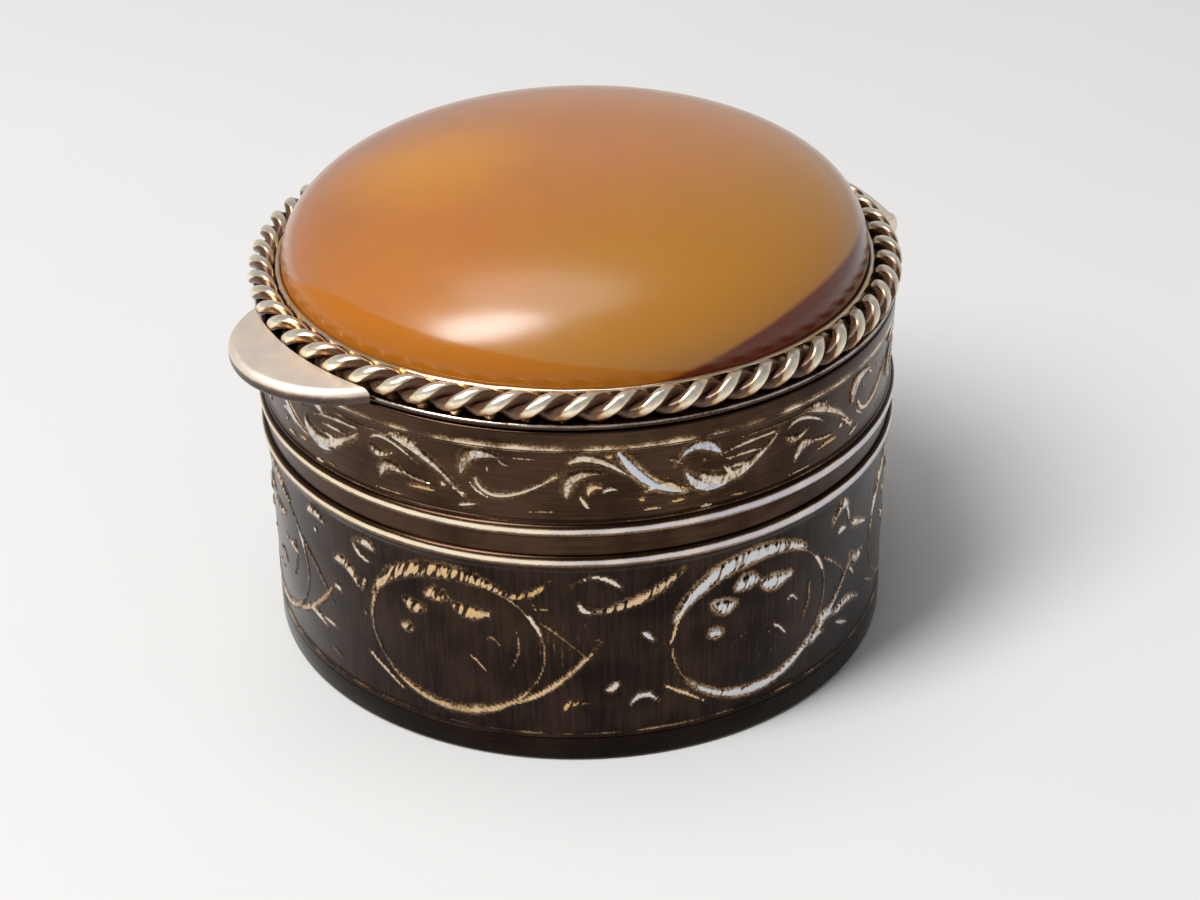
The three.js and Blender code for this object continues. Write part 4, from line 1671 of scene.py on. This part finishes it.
@dataclass
class Thumbpiece:
    """Half-moon that lifts the lid, tucked under the border and rounded by use."""

    radius: float = 7.1 * MM
    reach: float = 23.595 * MM
    rim: float = 20.31 * MM
    bottom: float = 22.95 * MM
    thickness: float = 1.05 * MM
    edge: float = 0.46 * MM
    under_edge: float = 0.3 * MM
    segments: int = 6

    def build(self) -> None:
        """Makes the thumbpiece from a round-edged coin that is cut back to the border's rim."""
        low, high = self.bottom, self.bottom + self.thickness
        edge, under = self.edge, self.under_edge
        profile = [
            (0.0, low),
            *arc((self.radius - under, low + under), under, -90, 0, self.segments),
            *arc((self.radius - edge, high - edge), edge, 0, 90, self.segments + 3),
            (0.0, high),
        ]
        piece = turned("thumb_lift", profile, 180)
        put(piece, (0.0, self.radius - self.reach, 0.0))
        deselect_all()
        bpy.ops.mesh.primitive_cylinder_add(vertices=720, radius=self.rim, depth=0.1, location=(0, 0, low))
        cutter = named("thumb_cutter")
        apply_modifier(piece, "BOOLEAN", operation="DIFFERENCE", object=cutter, solver="EXACT")
        bpy.data.objects.remove(cutter)
        clean(piece)
        azimuth, _, height = polar(points_of(piece))
        # Painted shade: the thumbpiece's side is left dark with patina and its flat top bare and bright,
        # partly worn by the thumb and partly lit from above.
        side = smoothstep(high / MM - 0.12, low / MM + 0.35, height / MM)
        rub = waviness(azimuth * 4, height / MM, WEAR_WAVES)
        keep_wear_and_sheen(piece, 0.95 - 0.84 * side + 0.05 * rub, 0.33 + 0.2 * side)
        hand_in(piece, LID, SATIN_SILVER, "thumbpiece")


@dataclass
class Hinge:
    """Five knuckles on one pin, the shelf that carries the body's and the flange over them."""

    knuckle_radius: float = 1.1 * MM
    bore: float = 0.53 * MM
    pin_radius: float = 0.45 * MM
    pin_head: float = 0.35 * MM
    length: float = 2.15 * MM
    gap: float = 0.15 * MM
    count: int = 5
    edge: float = 0.1 * MM
    flange_inner: float = 20.36 * MM
    flange_outer: float = 21.34 * MM
    flange_bottom: float = 23.0 * MM
    flange_top: float = 23.9 * MM
    flange_half_angle: float = 22.0
    flange_rounding: float = 0.2 * MM
    bearer_top: float = 20.5 * MM
    bearer_bottom: float = 19.2 * MM
    bearer_outer: float = 22.02 * MM
    bearer_slope: float = 0.45
    bearer_gap: float = 0.01 * MM
    bearer_rounding: float = 0.16 * MM

    @property
    def total(self) -> float:
        """Length of the row of knuckles."""
        return self.count * self.length + (self.count - 1) * self.gap

    def build(self) -> None:
        """Makes every piece of the hinge."""
        self._knuckles()
        self._pin()
        self._flange()
        self._bearer()

    def _wear(
        self, piece: bpy.types.Object, body: str, node: str, polish: float, gold: float,
        finish: Finish = SATIN_SILVER,
    ) -> None:
        """Keeps an even rub with small waves along the piece, and hands it in.

        Args:
            piece: the finished mesh object.
            body: the body that it moves with.
            node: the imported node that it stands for.
            polish: how far it is rubbed.
            gold: how warm its bare silver looks.
            finish: its finish.
        """
        points = points_of(piece)
        rub = waviness(points[:, 0] / MM, points[:, 2] / MM, WEAR_WAVES)
        keep_wear_and_sheen(piece, polish + 0.08 * rub, gold)
        hand_in(piece, body, finish, node)

    def _knuckles(self) -> None:
        """Makes the first knuckle and copies it along the pin. Every second one is the lid's."""
        half, edge, outer = self.length / 2, self.edge, self.knuckle_radius
        profile = [
            (self.bore, -half),
            *arc((outer - edge, -half + edge), edge, -90, 0, 4),
            *arc((outer - edge, half - edge), edge, 0, 90, 4),
            (self.bore, half),
        ]
        row = [turned("hinge_knuckle_1", profile, 64)]
        put(row[0], (half - self.total / 2, BoxSizes.hinge_y, BoxSizes.hinge_z), LIE_ALONG_X)
        step = self.length + self.gap
        for place in range(1, self.count):
            row.append(copied(row[0], f"hinge_knuckle_{place + 1}", (place * step, 0, 0)))
        for place, piece in enumerate(row):
            body, prefix = ((BODY, "body"), (LID, "lid"))[place % 2]
            self._wear(piece, body, f"{prefix}_knuckle_{place // 2 + 1}", 0.72, 0.35)

    def _pin(self) -> None:
        """Makes the pin with its ends rounded over."""
        end = self.total / 2
        rounding = ((0.0, 1.0), (0.5, 0.87), (0.87, 0.5), (1.0, 0.0))
        low = [(self.pin_radius * out, -end - self.pin_head * along) for out, along in rounding]
        high = [(radius, -height) for radius, height in reversed(low)]
        piece = turned("hinge_wire", low + high, 48)
        put(piece, (0.0, BoxSizes.hinge_y, BoxSizes.hinge_z), LIE_ALONG_X)
        self._wear(piece, BODY, "hinge_pin", 0.8, 0.3, PIN_METAL)

    def _flange(self) -> None:
        """Makes the flange by spinning its section round the rim."""
        deselect_all()
        bpy.ops.mesh.primitive_plane_add(size=1.0)
        piece = named("hinge_flange")
        inner, outer, low, high = self.flange_inner, self.flange_outer, self.flange_bottom, self.flange_top
        middle = ((inner + outer) / 2, 0, (high + low) / 2)
        put(piece, middle, (math.pi / 2, 0, 0), (outer - inner, high - low, 1.0))
        put(piece, turn=(0, 0, math.radians(90 + self.flange_half_angle)))
        spin(piece, "FACE", 40, math.radians(2 * self.flange_half_angle), use_normal_flip=True)
        round_edges(piece, self.flange_rounding, 50)
        self._wear(piece, LID, "lid_hinge_flange", 0.78, 0.35)

    def _bearer(self) -> None:
        """Makes the shelf from a bar whose back is bent to the wall."""
        deselect_all()
        bpy.ops.mesh.primitive_cube_add(size=1.0)
        piece = named("hinge_shelf")
        depth, height = self.bearer_outer - BoxSizes.radius, self.bearer_top - self.bearer_bottom
        middle = (0, BoxSizes.radius + depth / 2, self.bearer_bottom + height / 2)
        put(piece, middle, scale=(self.total, depth, height))
        points = points_of(piece)
        in_front, low = points[:, 1] > middle[1], points[:, 2] < middle[2]
        points[in_front & low, 1] -= depth * self.bearer_slope
        place_points(piece, points)
        divide_along(piece, 0, self.total / 2, 31)
        points = points_of(piece)
        wall = BoxSizes.radius + self.bearer_gap
        at_wall = points[:, 1] < wall
        points[at_wall, 1] = np.sqrt(wall**2 - points[at_wall, 0] ** 2)
        place_points(piece, points)
        round_edges(piece, self.bearer_rounding, 30)
        self._wear(piece, BODY, "body_hinge_bearer", 0.5, 0.4)


# Stage


def direction(azimuth: float, elevation: float) -> Vector:
    """The direction from the box to something that stands at that azimuth and elevation."""
    a, e = math.radians(azimuth), math.radians(elevation)
    return Vector((math.sin(a) * math.cos(e), -math.cos(a) * math.cos(e), math.sin(e)))


@dataclass(frozen=True)
class Lamp:
    """One soft oval lamp that faces the box. Its angles are in degrees, its power in watts."""

    name: str
    azimuth: float
    elevation: float
    distance: float
    size: Point
    power: float
    aim_height: float = 15 * MM

    def build(self) -> None:
        """Makes the lamp."""
        data = bpy.data.lights.new(self.name, "AREA")
        data.shape, data.energy = "ELLIPSE", self.power
        data.size, data.size_y = self.size
        lamp = bpy.data.objects.new(self.name, data)
        back = direction(self.azimuth, self.elevation)
        lamp.location = back * self.distance + Vector((0, 0, self.aim_height))
        lamp.rotation_mode = "QUATERNION"
        lamp.rotation_quaternion = (-back).to_track_quat("-Z", "Y")
        bpy.context.scene.collection.objects.link(lamp)


@dataclass
class Studio:
    """Pale floor, plain soft light and the camera at the photograph's angle."""

    azimuth: float = 54.0
    elevation: float = 31.4325
    roll: float = -0.9806
    distance: float = 152.28 * MM
    aim_height: float = 8 * MM
    aim_right: float = 0.52752
    aim_down: float = 0.61109
    lens: float = 69.2
    sensor: float = 36.0
    nearest: float = 5 * MM
    farthest: float = 20.0
    floor_size: float = 6.0
    floor_colour: Colour = (0.70, 0.69, 0.68)
    floor_mottle: float = 1.04
    floor_roughness: float = 0.85
    horizon: Colour = (0.52, 0.52, 0.52)
    zenith: Colour = (0.19, 0.19, 0.19)
    horizon_top: float = 0.05
    zenith_bottom: float = 0.8
    lamps: tuple[Lamp, ...] = (
        Lamp("key", azimuth=0, elevation=56, distance=0.6, size=(0.2, 0.46), power=3.75),
        Lamp("overhead", azimuth=-70, elevation=80, distance=0.7, size=(0.42, 0.42), power=1.1),
    )

    def build(self) -> None:
        """Makes camera, floor, world and lamps."""
        self._camera()
        self._floor()
        self._world()
        for lamp in self.lamps:
            lamp.build()
        bpy.context.scene.view_settings.view_transform = "Standard"

    def _camera(self) -> None:
        """Makes the camera from its place, its roll and where it aims beside the box."""
        data = bpy.data.cameras.new("camera")
        data.lens, data.sensor_width, data.sensor_fit = self.lens, self.sensor, "HORIZONTAL"
        data.clip_start, data.clip_end = self.nearest, self.farthest
        camera = bpy.data.objects.new("camera", data)
        bpy.context.scene.collection.objects.link(camera)
        back = direction(self.azimuth, self.elevation)
        right = Vector((0, 0, 1)).cross(back).normalized()
        up = back.cross(right)
        roll = math.radians(self.roll)
        rolled = right * math.cos(roll) + up * math.sin(roll)
        up = up * math.cos(roll) - right * math.sin(roll)
        forward = -back
        yaw, pitch = math.radians(self.aim_right), math.radians(self.aim_down)
        across = rolled * math.cos(yaw) - forward * math.sin(yaw)
        ahead = rolled * math.sin(yaw) + forward * math.cos(yaw)
        upward = up * math.cos(pitch) - ahead * math.sin(pitch)
        ahead = up * math.sin(pitch) + ahead * math.cos(pitch)
        facing = Matrix((across, upward, -ahead)).transposed().to_4x4()
        spot = back * self.distance + Vector((0, 0, self.aim_height))
        camera.matrix_world = Matrix.Translation(spot) @ facing
        bpy.context.scene.camera = camera

    def _floor(self) -> None:
        """Makes the plain pale floor."""
        deselect_all()
        bpy.ops.mesh.primitive_plane_add(size=self.floor_size)
        floor = named("floor")
        graph = Graph(bpy.data.materials.new("floor"))
        grain = graph.noise(40 * MM, 3)
        lighter = tuple(part * self.floor_mottle for part in self.floor_colour)
        graph.set(Base_Color=graph.mix(grain, self.floor_colour, lighter), Roughness=self.floor_roughness)
        floor.data.materials.append(graph.owner)

    def _world(self) -> None:
        """Makes a plain world, pale at the horizon and greyer overhead."""
        world = bpy.data.worlds.new("studio")
        bpy.context.scene.world = world
        graph = Graph(world, "Background")
        _, _, up = graph.split(graph.coordinates.outputs["Generated"])
        graph.set(Color=graph.ramp(up, ((self.horizon_top, self.horizon), (self.zenith_bottom, self.zenith))))


def main() -> None:
    """Builds stage and box in order."""
    logging.basicConfig(level=logging.INFO, format="%(message)s")
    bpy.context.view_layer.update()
    for part in (Studio(), Base(), Wall(), StoneSetting(), Thumbpiece(), Hinge()):
        part.build()


if __name__ == "__main__":
    main()
